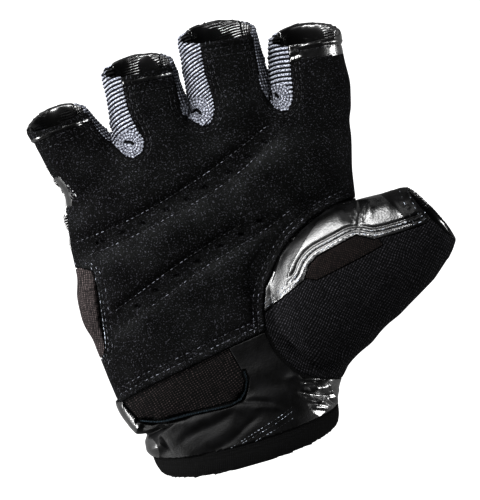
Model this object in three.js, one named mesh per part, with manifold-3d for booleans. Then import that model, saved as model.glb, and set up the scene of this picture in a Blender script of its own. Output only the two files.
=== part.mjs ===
// Right-hand half-finger lifting glove, filled as if worn and lying on its back, palm up.
// Millimetres. +Y runs along the hand from the cuff to the middle finger, +X points to the
// thumb side and +Z out of the palm. The finished group stands with the middle of its
// bounding box's base at the origin.

import * as THREE from "three";
import { mergeVertices } from "three/addons/utils/BufferGeometryUtils.js";
import Module from "manifold-3d";

// Palm and cuff.
const PALM_WIDTH = 103.5;       // across the palm, thumb left out
const PALM_LENGTH = 121;        // end of the cuff to the finger crotches
const PALM_HEIGHT = 37;         // back to palm at the middle of the hand
const CUFF_SLANT = 0.295;       // the cuff is longer on the palm side by this share of height
const HEM_WIDTH = 5.6;          // knit binding round the wrist
const HEM_PROUD = 0.9;          // how far the binding stands out of the leather
const WALL = 2.0;               // leather with its backing

// Palm padding.
const PAD_RISE = 1.3;           // padding above the flex channels
const CHANNEL_WIDTH = 6.6;      // unpadded strip between two pads
const HOLE_RADIUS = 0.75;       // perforations in the channels
const HOLE_SIDES = 6;
const HOLE_PITCH = 9.4;

// Fingers.
const FINGER_WALL = 1.8;
const FINGER_CURL = 15;         // degrees that the finger ends turn up
const KNUCKLE_HEIGHT = 15.5;    // middle of the finger roots above the rest

// Thumb.
const THUMB_LENGTH = 64.4;      // heel of the hand to the thumb opening, in plan
const THUMB_BASE = 46;          // widest part of the thumb's ball
const THUMB_TIP = 25;           // across the thumb opening
const THUMB_ANGLE = 27.7;       // degrees from +X towards the fingers
const THUMB_RISE = 13;          // degrees that the thumb points up
const THUMB_HEIGHT = 44;        // depth of the thumb's ball

// Sewing.
const SEAM_GAP = 0.3;           // clearance between neighbouring pieces
const PIPING_WIDTH = 1.3;
const PIPING_PROUD = 0.7;

// Number of points round each kind of section, and its superellipse exponent.
const PALM_SIDES = { skin: 36, hollow: 26 };
const FINGER_SIDES = { skin: 22, hollow: 16 };
const THUMB_SIDES = { skin: 28, hollow: 20 };
const FINGER_SQUARE = 2.3;
const THUMB_SQUARE = 2.2;

const REACH = 200;              // longer than the glove, for cutting solids
const OVERRUN = 6;              // how far a hollow runs past its opening
const HALVES_OVERLAP = 0.5;     // how far the cuts of back and palm side run into each other
const PAST_TIP = 1.2;           // share of a finger's or the thumb's length beyond its end
const BEFORE_ROOT = -0.2;
const BESIDE_THUMB = -3;        // half widths, well clear of the thumb on the finger side
const MITRE_LIMIT = 0.5;        // least cosine by which a moved corner's shift is divided
const CHANNEL_STEPS = 8;
const PIPING_STEPS = 14;

const radians = THREE.MathUtils.degToRad;

// Sections of the palm and cuff, from the wrist to the crotches. along is a share of
// PALM_LENGTH; little and thumb are the two edges as shares of PALM_WIDTH from the middle
// line; height and middle are shares of PALM_HEIGHT; square is the section's exponent.
const PALM_ROWS = [
  { along: 0.000, little: 0.412, thumb: 0.216, height: 1.20, middle: 0.560, square: 2.2 },
  { along: 0.046, little: 0.420, thumb: 0.226, height: 1.17, middle: 0.545, square: 2.2 },
  { along: 0.080, little: 0.435, thumb: 0.250, height: 1.17, middle: 0.545, square: 2.2 },
  { along: 0.105, little: 0.444, thumb: 0.258, height: 1.14, middle: 0.530, square: 2.3 },
  { along: 0.136, little: 0.466, thumb: 0.292, height: 1.15, middle: 0.535, square: 2.3 },
  { along: 0.165, little: 0.472, thumb: 0.300, height: 1.11, middle: 0.515, square: 2.4 },
  { along: 0.200, little: 0.484, thumb: 0.320, height: 1.11, middle: 0.515, square: 2.4 },
  { along: 0.231, little: 0.492, thumb: 0.345, height: 1.08, middle: 0.500, square: 2.5 },
  { along: 0.300, little: 0.502, thumb: 0.392, height: 1.06, middle: 0.490, square: 2.6 },
  { along: 0.397, little: 0.514, thumb: 0.437, height: 1.04, middle: 0.480, square: 2.7 },
  { along: 0.496, little: 0.517, thumb: 0.466, height: 1.02, middle: 0.470, square: 2.8 },
  { along: 0.595, little: 0.510, thumb: 0.484, height: 1.00, middle: 0.460, square: 2.8 },
  { along: 0.694, little: 0.503, thumb: 0.503, height: 0.97, middle: 0.445, square: 2.8 },
  { along: 0.785, little: 0.486, thumb: 0.532, height: 0.90, middle: 0.428, square: 2.8 },
  { along: 0.860, little: 0.470, thumb: 0.545, height: 0.80, middle: 0.420, square: 2.6 },
  { along: 0.920, little: 0.450, thumb: 0.530, height: 0.66, middle: 0.420, square: 2.4 },
  { along: 0.965, little: 0.405, thumb: 0.470, height: 0.48, middle: 0.420, square: 2.2 },
  { along: 0.990, little: 0.340, thumb: 0.390, height: 0.30, middle: 0.420, square: 2.2 },
];
const SLANT_FADE = 0.21;        // the cuff's slant dies out by this share of the length

// Fingers. across and along place the root in the palm, as shares of PALM_WIDTH and
// PALM_LENGTH; splay and opening are the headings of the axis and of the opening, in
// degrees from +Y towards the thumb; the rest is in millimetres.
const FINGERS = {
  little: {
    across: -0.325, along: 0.810, splay: -18.5, opening: -5.0,
    length: 33.5, root: 26.0, tip: 23.6, height: 18.0,
  },
  ring: {
    across: -0.118, along: 0.826, splay: 1.0, opening: 4.0,
    length: 39.4, root: 29.2, tip: 27.0, height: 20.0,
  },
  middle: {
    across: 0.157, along: 0.826, splay: 3.4, opening: 7.0,
    length: 43.1, root: 30.2, tip: 29.0, height: 21.5,
  },
  index: {
    across: 0.398, along: 0.793, splay: 11.0, opening: 6.5,
    length: 38.4, root: 30.2, tip: 26.6, height: 20.5,
  },
};

// Sections of a finger: along is a share of its length, root and end say how much of the
// root's and tip's width a section has, and depth is a share of its height.
const FINGER_ROWS = [
  { along: 0.00, root: 0.72, end: 0.00, depth: 1.10 },
  { along: 0.30, root: 0.96, end: 0.00, depth: 1.36 },
  { along: 0.55, root: 1.00, end: 0.00, depth: 1.22 },
  { along: 0.72, root: 0.35, end: 0.64, depth: 1.08 },
  { along: 0.88, root: 0.00, end: 0.98, depth: 0.98 },
  { along: 1.00, root: 0.00, end: 1.00, depth: 1.00 },
];

// Sections of the thumb: width runs from THUMB_TIP (0) to THUMB_BASE (1), depth is a share
// of THUMB_HEIGHT, bow is how far the axis stands off towards the fingers and lift how far
// it stands above the straight rise, as shares of THUMB_LENGTH.
const THUMB_ROWS = [
  { along: 0.00, width: 0.52, depth: 0.84, bow: -0.010, lift: 0.000 },
  { along: 0.12, width: 0.86, depth: 0.95, bow: 0.045, lift: 0.012 },
  { along: 0.26, width: 1.00, depth: 1.00, bow: 0.072, lift: 0.020 },
  { along: 0.42, width: 0.97, depth: 0.95, bow: 0.076, lift: 0.025 },
  { along: 0.58, width: 0.90, depth: 0.84, bow: 0.060, lift: 0.028 },
  { along: 0.74, width: 0.65, depth: 0.72, bow: 0.026, lift: 0.022 },
  { along: 0.89, width: 0.27, depth: 0.60, bow: 0.000, lift: 0.010 },
  { along: 1.00, width: 0.00, depth: 0.54, bow: 0.000, lift: 0.000 },
];
const THUMB_ROOT = { across: 0.176, along: 0.264, height: 0.570 };

const wasm = await Module();
wasm.setup();

// A closed geometry as a solid that can be joined and cut.
function solid(geometry) {
  const bare = geometry.clone();
  for (const name of Object.keys(bare.attributes)) {
    if (name !== "position") bare.deleteAttribute(name);
  }
  const merged = mergeVertices(bare, 1e-4);
  return new wasm.Manifold(new wasm.Mesh({
    numProp: 3,
    vertProperties: new Float32Array(merged.attributes.position.array),
    triVerts: new Uint32Array(merged.index.array),
  }));
}

// A tube of sections with a flat face on each end. Every ring has the same number of
// points and turns the same way about the direction of travel.
function loft(rings) {
  const sides = rings[0].length;
  const points = rings.flat();
  const faces = [];
  for (let row = 0; row < rings.length - 1; row += 1) {
    for (let side = 0; side < sides; side += 1) {
      const next = (side + 1) % sides;
      const a = row * sides + side;
      const b = row * sides + next;
      faces.push(a, b, b + sides);
      faces.push(a, b + sides, a + sides);
    }
  }
  for (const row of [0, rings.length - 1]) {
    const middle = new THREE.Vector3();
    for (const point of rings[row]) middle.addScaledVector(point, 1 / sides);
    const hub = points.push(middle) - 1;
    for (let side = 0; side < sides; side += 1) {
      const a = row * sides + side;
      const b = row * sides + (side + 1) % sides;
      if (row === 0) faces.push(hub, b, a);
      else faces.push(hub, a, b);
    }
  }
  const geometry = new THREE.BufferGeometry();
  geometry.setFromPoints(points);
  geometry.setIndex(faces);
  return solid(geometry);
}

// A rounded section: a superellipse in the plane of the unit vectors across and up.
function ring({ centre, across, up, halfWidth, halfHeight, square, sides }) {
  const points = [];
  for (let side = 0; side < sides; side += 1) {
    const angle = (2 * Math.PI * side) / sides;
    const bend = (value) => Math.sign(value) * Math.abs(value) ** (2 / square);
    const point = centre.clone();
    point.addScaledVector(across, halfWidth * bend(Math.cos(angle)));
    point.addScaledVector(up, halfHeight * bend(Math.sin(angle)));
    points.push(point);
  }
  return points;
}

// An outline moved outwards by a distance, corner by corner.
function grown(outline, distance) {
  const turn = THREE.ShapeUtils.area(outline) > 0 ? 1 : -1;
  return outline.map((point, index) => {
    const before = outline[(index + outline.length - 1) % outline.length];
    const after = outline[(index + 1) % outline.length];
    const edgeIn = point.clone().sub(before).normalize();
    const edgeOut = after.clone().sub(point).normalize();
    const normal = new THREE.Vector2(edgeIn.y + edgeOut.y, -edgeIn.x - edgeOut.x).normalize();
    const lean = Math.max(MITRE_LIMIT, normal.x * edgeIn.y - normal.y * edgeIn.x);
    return point.clone().addScaledVector(normal, (turn * distance) / lean);
  });
}

// A cutting solid straight up from an outline in plan.
function column(outline, low = -REACH, high = REACH) {
  const geometry = new THREE.ExtrudeGeometry(new THREE.Shape(outline), {
    depth: high - low,
    bevelEnabled: false,
  });
  geometry.translate(0, 0, low);
  return solid(geometry);
}

// A cutting solid right across the glove, from an outline of distances along a heading
// (from +X towards +Y) and heights.
function crossCut(outline, heading, start) {
  const geometry = new THREE.ExtrudeGeometry(new THREE.Shape(outline), {
    depth: 2 * REACH,
    bevelEnabled: false,
  });
  geometry.translate(0, 0, -REACH);
  const turn = new THREE.Matrix4().makeBasis(
    new THREE.Vector3(Math.cos(heading), Math.sin(heading), 0),
    new THREE.Vector3(0, 0, 1),
    new THREE.Vector3(Math.sin(heading), -Math.cos(heading), 0),
  );
  geometry.applyMatrix4(turn.setPosition(start.x, start.y, 0));
  return solid(geometry);
}

// A point of the palm in plan, from shares of its width and length.
function palmPoint(across, along) {
  return new THREE.Vector2(across * PALM_WIDTH, along * PALM_LENGTH);
}

// The palm and cuff, with the surface moved in by inset and the palm side raised by lift.
function palmSolid({ inset = 0, lift = 0, overrun = 0 }) {
  const rings = PALM_ROWS.map((row, index) => {
    const isFirst = index === 0;
    const isLast = index === PALM_ROWS.length - 1;
    const left = -row.little * PALM_WIDTH + inset;
    const right = row.thumb * PALM_WIDTH - inset;
    const middle = row.middle * PALM_HEIGHT;
    const halfHeight = (row.height * PALM_HEIGHT) / 2 - inset;
    const y = row.along * PALM_LENGTH - (isLast ? inset : 0) - (isFirst ? overrun : 0);
    const slant = CUFF_SLANT * Math.max(0, 1 - row.along / SLANT_FADE);
    const points = ring({
      centre: new THREE.Vector3((left + right) / 2, y, middle),
      across: new THREE.Vector3(-1, 0, 0),
      up: new THREE.Vector3(0, 0, 1),
      halfWidth: (right - left) / 2,
      halfHeight,
      square: row.square,
      sides: inset > 0 ? PALM_SIDES.hollow : PALM_SIDES.skin,
    });
    for (const point of points) {
      const height = point.z - middle;
      point.y -= slant * height;
      if (height > 0) point.z += (lift * height) / halfHeight;
    }
    return points;
  });
  return loft(rings);
}

// Where a finger's axis runs: its plan position, height and slope at a share of its length.
function fingerAxis(finger, share) {
  const heading = radians(finger.splay);
  const facing = radians(THREE.MathUtils.lerp(finger.splay, finger.opening, share ** 2));
  const curlRise = Math.tan(radians(FINGER_CURL)) / 2;
  const root = palmPoint(finger.across, finger.along);
  const reach = finger.length * share;
  return {
    centre: new THREE.Vector3(
      root.x + Math.sin(heading) * reach,
      root.y + Math.cos(heading) * reach,
      KNUCKLE_HEIGHT + curlRise * finger.length * share * share,
    ),
    across: new THREE.Vector3(-Math.cos(facing), Math.sin(facing), 0),
    slope: radians(FINGER_CURL) * share,
    facing,
  };
}

// A point of a finger in plan: side runs from -1, the little side, to 1, the thumb side.
function fingerPoint(finger, share, side) {
  const axis = fingerAxis(finger, share);
  const width = THREE.MathUtils.lerp(finger.root, finger.tip, share);
  const point = new THREE.Vector2(axis.centre.x, axis.centre.y);
  return point.addScaledVector(
    new THREE.Vector2(-axis.across.x, -axis.across.y), (side * width) / 2,
  );
}

function fingerSolid(finger, { inset = 0, overrun = 0 }) {
  const rings = FINGER_ROWS.map((row, index) => {
    const isLast = index === FINGER_ROWS.length - 1;
    const share = row.along + (isLast ? overrun / finger.length : 0);
    const axis = fingerAxis(finger, share);
    const up = new THREE.Vector3(
      -Math.sin(axis.facing) * Math.sin(axis.slope),
      -Math.cos(axis.facing) * Math.sin(axis.slope),
      Math.cos(axis.slope),
    );
    return ring({
      centre: axis.centre,
      across: axis.across,
      up,
      halfWidth: (row.root * finger.root + row.end * finger.tip) / 2 - inset,
      halfHeight: (row.depth * finger.height) / 2 - inset,
      square: FINGER_SQUARE,
      sides: inset > 0 ? FINGER_SIDES.hollow : FINGER_SIDES.skin,
    });
  });
  return loft(rings);
}

// Where the thumb's axis runs. side is a vector in plan across the thumb, towards the
// wrist, and along is the direction of travel with its rise.
function thumbAxis(share, bow = 0, lift = 0) {
  const heading = radians(THUMB_ANGLE);
  const start = palmPoint(THUMB_ROOT.across, THUMB_ROOT.along);
  const reach = THUMB_LENGTH * share;
  const side = new THREE.Vector3(Math.sin(heading), -Math.cos(heading), 0);
  const centre = new THREE.Vector3(
    start.x + Math.cos(heading) * reach,
    start.y + Math.sin(heading) * reach,
    THUMB_ROOT.height * PALM_HEIGHT + Math.tan(radians(THUMB_RISE)) * reach,
  );
  centre.addScaledVector(side, -bow * THUMB_LENGTH);
  centre.z += lift * THUMB_LENGTH;
  const rise = radians(THUMB_RISE);
  const up = new THREE.Vector3(
    -Math.cos(heading) * Math.sin(rise),
    -Math.sin(heading) * Math.sin(rise),
    Math.cos(rise),
  );
  return { centre, side, up };
}

function thumbSolid({ inset = 0, overrun = 0 }) {
  const rings = THUMB_ROWS.map((row, index) => {
    const isFirst = index === 0;
    const isLast = index === THUMB_ROWS.length - 1;
    const shift = (isLast ? overrun : 0) + (isFirst ? inset : 0);
    const axis = thumbAxis(row.along + shift / THUMB_LENGTH, row.bow, row.lift);
    return ring({
      centre: axis.centre,
      across: axis.side.clone().negate(),
      up: axis.up,
      halfWidth: THREE.MathUtils.lerp(THUMB_TIP, THUMB_BASE, row.width) / 2 - inset,
      halfHeight: (row.depth * THUMB_HEIGHT) / 2 - inset,
      square: THUMB_SQUARE,
      sides: inset > 0 ? THUMB_SIDES.hollow : THUMB_SIDES.skin,
    });
  });
  return loft(rings);
}

// A point of the thumb in plan: side runs from -1, the finger side, to 1, the wrist side.
function thumbPoint(share, side) {
  const axis = thumbAxis(share);
  const half = THREE.MathUtils.lerp(THUMB_BASE, THUMB_TIP, share) / 2;
  return new THREE.Vector2(
    axis.centre.x + axis.side.x * side * half,
    axis.centre.y + axis.side.y * side * half,
  );
}

// Outlines of the palm's pieces in plan, as shares of PALM_WIDTH and PALM_LENGTH.
const PALM_END = [
  { across: -0.481, along: 0.222 },
  { across: -0.360, along: 0.248 },
  { across: -0.175, along: 0.275 },
  { across: -0.056, along: 0.294 },
  { across: 0.062, along: 0.308 },
];
const THUMB_SEAM = [
  { across: 0.062, along: 0.308 },
  { across: 0.076, along: 0.370 },
  { across: 0.098, along: 0.425 },
  { across: 0.166, along: 0.493 },
  { across: 0.233, along: 0.546 },
  { across: 0.336, along: 0.590 },
  { across: 0.428, along: 0.603 },
  { across: 0.510, along: 0.615 },
  { across: 0.600, along: 0.670 },
  { across: 1.500, along: 0.670 },
];
const HEEL_SEAM = [
  { across: 0.062, along: 0.308 },
  { across: 0.071, along: 0.251 },
  { across: 0.090, along: 0.213 },
  { across: 0.136, along: 0.150 },
  { across: 0.260, along: 0.116 },
];
const SIDE_KNIT = [
  { across: -0.484, along: 0.633 },
  { across: -0.445, along: 0.612 },
  { across: -0.447, along: 0.573 },
  { across: -0.465, along: 0.477 },
  { across: -0.479, along: 0.383 },
  { across: -0.497, along: 0.363 },
];
const WRIST_INSERT = [
  { across: -0.470, along: 0.240 },
  { across: -0.461, along: 0.208 },
  { across: -0.433, along: 0.165 },
  { across: -0.358, along: 0.146 },
  { across: -0.253, along: 0.145 },
  { across: -0.149, along: 0.140 },
  { across: -0.096, along: 0.142 },
  { across: -0.069, along: 0.160 },
  { across: -0.053, along: 0.186 },
  { across: -0.054, along: 0.216 },
  { across: -0.075, along: 0.291 },
  { across: -0.075, along: 0.310 },
];
const CHANNELS = [
  [
    { across: -0.447, along: 0.685 },
    { across: -0.298, along: 0.697 },
    { across: -0.147, along: 0.727 },
    { across: -0.013, along: 0.757 },
    { across: 0.107, along: 0.791 },
    { across: 0.220, along: 0.836 },
  ],
  [
    { across: -0.413, along: 0.457 },
    { across: -0.288, along: 0.496 },
    { across: -0.170, along: 0.530 },
    { across: -0.068, along: 0.562 },
    { across: 0.057, along: 0.589 },
    { across: 0.154, along: 0.604 },
  ],
];
const PAD_TOP = [
  { across: 0.150, along: 0.870 },
  { across: 0.010, along: 0.858 },
  { across: -0.140, along: 0.848 },
  { across: -0.260, along: 0.838 },
  { across: -0.400, along: 0.810 },
  { across: -0.445, along: 0.755 },
];
const PAD_SIDE = [
  { across: 0.300, along: 0.880 },
  { across: 0.480, along: 0.850 },
  { across: 0.460, along: 0.690 },
  { across: 0.330, along: 0.645 },
];
const PAD_HEEL = [
  { across: 0.060, along: 0.500 },
  { across: 0.020, along: 0.350 },
  { across: -0.420, along: 0.275 },
  { across: -0.440, along: 0.400 },
];
const BACK_CUFF_SEAM = 0.225;   // where the back ends and the cuff starts, along the palm
const SPLIT_STEPS = [0, 0.3, 0.6]; // shares of the length that the side seam's height is read at

// Where the grey strips end on the palm side of the fingers: along is a share of the
// finger's length and side runs from -1, its little side, to 1, its thumb side.
const WEBS = {
  web_little_ring: [
    { finger: "little", along: 1.30, side: 0.90 },
    { finger: "little", along: 0.80, side: 0.84 },
    { finger: "little", along: 0.60, side: 0.80 },
    { finger: "ring", along: 0.34, side: -0.98 },
    { finger: "ring", along: 0.24, side: -0.84 },
    { finger: "ring", along: 0.20, side: -0.64 },
    { finger: "ring", along: 0.24, side: -0.38 },
    { finger: "ring", along: 0.35, side: -0.26 },
    { finger: "ring", along: 0.46, side: -0.42 },
    { finger: "ring", along: 0.65, side: -0.50 },
    { finger: "ring", along: 1.20, side: -0.44 },
  ],
  web_ring_middle: [
    { finger: "ring", along: 1.20, side: 0.90 },
    { finger: "ring", along: 0.70, side: 0.84 },
    { finger: "ring", along: 0.48, side: 0.76 },
    { finger: "middle", along: 0.33, side: -0.96 },
    { finger: "middle", along: 0.26, side: -0.78 },
    { finger: "middle", along: 0.28, side: -0.58 },
    { finger: "middle", along: 0.38, side: -0.42 },
    { finger: "middle", along: 0.50, side: -0.42 },
    { finger: "middle", along: 0.70, side: -0.49 },
    { finger: "middle", along: 1.20, side: -0.40 },
  ],
  web_middle_index: [
    { finger: "middle", along: 1.20, side: 0.86 },
    { finger: "middle", along: 0.70, side: 0.80 },
    { finger: "middle", along: 0.48, side: 0.72 },
    { finger: "index", along: 0.36, side: -0.90 },
    { finger: "index", along: 0.30, side: -0.68 },
    { finger: "index", along: 0.32, side: -0.52 },
    { finger: "index", along: 0.42, side: -0.40 },
    { finger: "index", along: 0.60, side: -0.42 },
    { finger: "index", along: 1.20, side: -0.50 },
  ],
};
const WEB_BACK = { side: 0.66, start: 0.55, foot: 0.40 };

// Lower edge of the thumb's smooth leather and upper edge of its mesh, as shares of the
// thumb's length and half width (-1 on the finger side, 1 on the wrist side).
const THUMB_LEATHER_EDGE = [
  { along: -0.20, side: -0.62 },
  { along: -0.04, side: -0.64 },
  { along: 0.22, side: -0.67 },
  { along: 0.29, side: -0.82 },
  { along: 0.36, side: -0.87 },
  { along: 0.59, side: -0.76 },
  { along: 0.64, side: -0.47 },
  { along: 0.75, side: -0.24 },
  { along: 0.90, side: 0.06 },
  { along: 1.20, side: 0.10 },
];
const THUMB_PATCH = [
  { along: 0.235, side: -0.68 },
  { along: 0.27, side: -0.54 },
  { along: 0.42, side: -0.43 },
  { along: 0.58, side: -0.30 },
  { along: 0.66, side: -0.24 },
  { along: 0.66, side: -0.52 },
  { along: 0.59, side: -0.90 },
  { along: 0.36, side: -1.00 },
  { along: 0.27, side: -0.90 },
];
const THUMB_BACK_SEAM = [
  { across: 0.520, along: 0.670 },
  { across: 0.483, along: 0.603 },
  { across: 0.420, along: 0.440 },
  { across: 0.350, along: 0.270 },
  { across: 0.250, along: 0.110 },
];

const palmOutline = (rows) => rows.map((row) => palmPoint(row.across, row.along));
const thumbOutline = (rows) => rows.map((row) => thumbPoint(row.along, row.side));
const corner = (x, y) => new THREE.Vector2(x * REACH, y * REACH);

const wide = (low, high) => column([
  corner(-1, -1), corner(1, -1), corner(1, 1), corner(-1, 1),
], low, high);

// A smooth line through a few points in plan, moved sideways to its left.
function smoothLine(points, offset, count) {
  const curve = new THREE.SplineCurve(points);
  const line = [];
  for (let index = 0; index <= count; index += 1) {
    const tangent = curve.getTangentAt(index / count);
    const point = curve.getPointAt(index / count);
    line.push(point.add(new THREE.Vector2(-tangent.y, tangent.x).multiplyScalar(offset)));
  }
  return line;
}

// Height of the seam between the palm side and the back, along the hand and up the
// curled fingers.
const palmMiddle = (along) => {
  const after = PALM_ROWS.findIndex((row) => row.along >= along);
  const next = PALM_ROWS[Math.max(1, after)];
  const last = PALM_ROWS[Math.max(1, after) - 1];
  const share = (along - last.along) / (next.along - last.along);
  return THREE.MathUtils.lerp(last.middle, next.middle, share) * PALM_HEIGHT;
};
const fingerTop = fingerAxis(FINGERS.middle, 1).centre;
const splitLine = [
  new THREE.Vector2(-REACH, palmMiddle(0)),
  ...SPLIT_STEPS.map((share) => new THREE.Vector2(share * PALM_LENGTH, palmMiddle(share))),
  new THREE.Vector2(FINGERS.middle.along * PALM_LENGTH, KNUCKLE_HEIGHT),
  new THREE.Vector2((FINGERS.middle.along * PALM_LENGTH + fingerTop.y) / 2,
    fingerAxis(FINGERS.middle, 0.5).centre.z),
  new THREE.Vector2(fingerTop.y, fingerTop.z),
  new THREE.Vector2(REACH, fingerTop.z),
];
const alongHand = Math.PI / 2;
const origin = new THREE.Vector2();
const palmSide = (grow) => crossCut([
  corner(-1, 1),
  ...splitLine.map((point) => new THREE.Vector2(point.x, point.y - grow)),
  corner(1, 1),
], alongHand, origin);
const backSide = (grow) => crossCut([
  corner(-1, -1),
  corner(1, -1),
  ...splitLine.map((point) => new THREE.Vector2(point.x, point.y + grow)).reverse(),
], alongHand, origin);

// The thumb's palm side lies above a slope through its axis.
const thumbStart = thumbAxis(0).centre;
const thumbSlope = Math.tan(radians(THUMB_RISE));
const thumbSide = (grow) => crossCut([
  new THREE.Vector2(-REACH, REACH),
  new THREE.Vector2(-REACH, thumbStart.z - thumbSlope * REACH - grow),
  new THREE.Vector2(REACH, thumbStart.z + thumbSlope * REACH - grow),
  new THREE.Vector2(REACH, REACH),
], radians(THUMB_ANGLE), thumbStart);

// The palm's three pads, above, between and below the flex channels.
const channelLines = CHANNELS.map((rows) => palmOutline(rows));
const edgeOf = (index, side) => smoothLine(channelLines[index], (side * CHANNEL_WIDTH) / 2,
  CHANNEL_STEPS);
const pads = [
  [...edgeOf(0, 1), ...palmOutline(PAD_TOP)],
  [...edgeOf(1, 1), ...palmOutline(PAD_SIDE).reverse(), ...edgeOf(0, -1).reverse()],
  [...edgeOf(1, -1), ...palmOutline(PAD_HEEL)],
];

// The outer form, pressed flat at the height of the rest.
const fingers = Object.values(FINGERS);
const raised = palmSolid({ lift: PAD_RISE });
let outer = palmSolid({});
for (const pad of pads) outer = outer.add(raised.intersect(column(pad)));
outer = outer.add(thumbSolid({}));
for (const finger of fingers) outer = outer.add(fingerSolid(finger, {}));

// The hollow that the hand fills, run past every opening.
let hollow = palmSolid({ inset: WALL, overrun: OVERRUN });
hollow = hollow.add(thumbSolid({ inset: WALL, overrun: OVERRUN }));
for (const finger of fingers) {
  hollow = hollow.add(fingerSolid(finger, { inset: FINGER_WALL, overrun: OVERRUN }));
}
hollow = hollow.subtract(wide(-REACH, WALL));

// Perforations along the middle of each flex channel.
function perforations() {
  let holes = null;
  for (const line of channelLines) {
    const curve = new THREE.SplineCurve(line);
    const count = Math.round(curve.getLength() / HOLE_PITCH);
    for (let index = 0; index < count; index += 1) {
      const middle = curve.getPointAt((index + 0.5) / count);
      const outline = [];
      for (let side = 0; side < HOLE_SIDES; side += 1) {
        const angle = (2 * Math.PI * side) / HOLE_SIDES;
        outline.push(new THREE.Vector2(
          middle.x + HOLE_RADIUS * Math.cos(angle),
          middle.y + HOLE_RADIUS * Math.sin(angle),
        ));
      }
      const hole = column(outline, palmMiddle(0.5));
      holes = holes ? holes.add(hole) : hole;
    }
  }
  return holes;
}

// Regions that part the shell into its pieces. Each gives its cutting solid, grown by a
// distance.
const hemRegion = (grow) => {
  const middle = palmMiddle(0);
  const fade = 1 - HEM_WIDTH / PALM_LENGTH / SLANT_FADE;
  const edge = (height) => HEM_WIDTH + grow - CUFF_SLANT * fade * (height - middle);
  return crossCut([
    corner(-1, -1),
    new THREE.Vector2(edge(-REACH), -REACH),
    new THREE.Vector2(edge(REACH), REACH),
    corner(-1, 1),
  ], alongHand, origin);
};
const insertRegion = (grow) => (
  column(grown(palmOutline(WRIST_INSERT), grow)).intersect(palmSide(grow))
);
// The piping follows the insert's edge towards the cuff and the heel.
const pipingRegion = (grow) => {
  const line = palmOutline(WRIST_INSERT.slice(2, -2));
  const strip = [
    ...smoothLine(line, -SEAM_GAP - PIPING_WIDTH, PIPING_STEPS),
    ...smoothLine(line, -SEAM_GAP, PIPING_STEPS).reverse(),
  ];
  return column(grown(strip, grow)).intersect(palmSide(grow));
};
const sideKnitRegion = (grow) => column(grown([
  new THREE.Vector2(-REACH, SIDE_KNIT[0].along * PALM_LENGTH),
  new THREE.Vector2(-REACH, SIDE_KNIT.at(-1).along * PALM_LENGTH),
  ...palmOutline(SIDE_KNIT).reverse(),
], grow));
const webRegion = (name) => (grow) => {
  const rows = WEBS[name];
  const front = rows.map((row) => fingerPoint(FINGERS[row.finger], row.along, row.side));
  const first = FINGERS[rows[0].finger];
  const second = FINGERS[rows.at(-1).finger];
  const { side, start, foot } = WEB_BACK;
  const back = [
    fingerPoint(first, PAST_TIP, side),
    fingerPoint(first, start, side),
    fingerPoint(first, foot, 1).lerp(fingerPoint(second, foot, -1), 0.5),
    fingerPoint(second, start, -side),
    fingerPoint(second, PAST_TIP, -side),
  ];
  return column(grown(front, grow)).intersect(palmSide(grow))
    .add(column(grown(back, grow)).intersect(backSide(grow + HALVES_OVERLAP)));
};
const palmRegion = (grow) => column(grown([
  new THREE.Vector2(-REACH, PALM_END[0].along * PALM_LENGTH),
  ...palmOutline(PALM_END),
  ...palmOutline(THUMB_SEAM.slice(1)),
  corner(1, 1),
  corner(-1, 1),
], grow)).intersect(palmSide(grow));
const thumbLeatherRegion = (grow) => column(grown([
  ...thumbOutline(THUMB_LEATHER_EDGE),
  thumbPoint(PAST_TIP, BESIDE_THUMB),
  thumbPoint(BEFORE_ROOT, BESIDE_THUMB),
], grow)).intersect(thumbSide(grow));
const thumbPatchRegion = (grow) => (
  column(grown(thumbOutline(THUMB_PATCH), grow)).intersect(thumbSide(grow))
);
const thumbMeshRegion = (grow) => {
  const front = column(grown([
    ...palmOutline(HEEL_SEAM).reverse(),
    ...palmOutline(THUMB_SEAM.slice(1)),
    new THREE.Vector2(REACH, HEEL_SEAM.at(-1).along * PALM_LENGTH),
  ].reverse(), grow)).intersect(palmSide(grow));
  const back = column(grown([
    ...palmOutline(THUMB_BACK_SEAM),
    new THREE.Vector2(REACH, THUMB_BACK_SEAM.at(-1).along * PALM_LENGTH),
    new THREE.Vector2(REACH, THUMB_BACK_SEAM[0].along * PALM_LENGTH),
  ], grow)).intersect(backSide(grow + HALVES_OVERLAP));
  return front.add(back);
};
const cuffRegion = (grow) => {
  const front = column(grown([
    new THREE.Vector2(-REACH, PALM_END[0].along * PALM_LENGTH),
    corner(-1, -1),
    corner(1, -1),
    new THREE.Vector2(REACH, HEEL_SEAM.at(-1).along * PALM_LENGTH),
    ...palmOutline(HEEL_SEAM).reverse(),
    ...palmOutline(PALM_END).reverse().slice(1),
  ], grow)).intersect(palmSide(grow));
  const back = column(grown([
    new THREE.Vector2(-REACH, BACK_CUFF_SEAM * PALM_LENGTH),
    corner(-1, -1),
    corner(1, -1),
    new THREE.Vector2(REACH, BACK_CUFF_SEAM * PALM_LENGTH),
  ], grow)).intersect(backSide(grow + HALVES_OVERLAP));
  return front.add(back);
};

const floor = wide(-REACH, 0);
const skin = (form) => form.subtract(floor).subtract(hollow);
let shell = skin(outer);

const group = new THREE.Group();

function addPiece(name, piece, color, roughness) {
  const mesh = piece.getMesh();
  const geometry = new THREE.BufferGeometry();
  geometry.setAttribute("position", new THREE.BufferAttribute(mesh.vertProperties, 3));
  geometry.setIndex(new THREE.BufferAttribute(mesh.triVerts, 1));
  geometry.computeVertexNormals();
  const material = new THREE.MeshStandardMaterial({ color, roughness, metalness: 0 });
  const node = new THREE.Mesh(geometry, material);
  node.name = name;
  group.add(node);
}

// Cuts a piece out of the shell, or out of a thicker skin that stands proud of it.
function take(name, region, color, roughness, thicker = shell) {
  addPiece(name, thicker.intersect(region(0)), color, roughness);
  shell = shell.subtract(region(SEAM_GAP));
}

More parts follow.
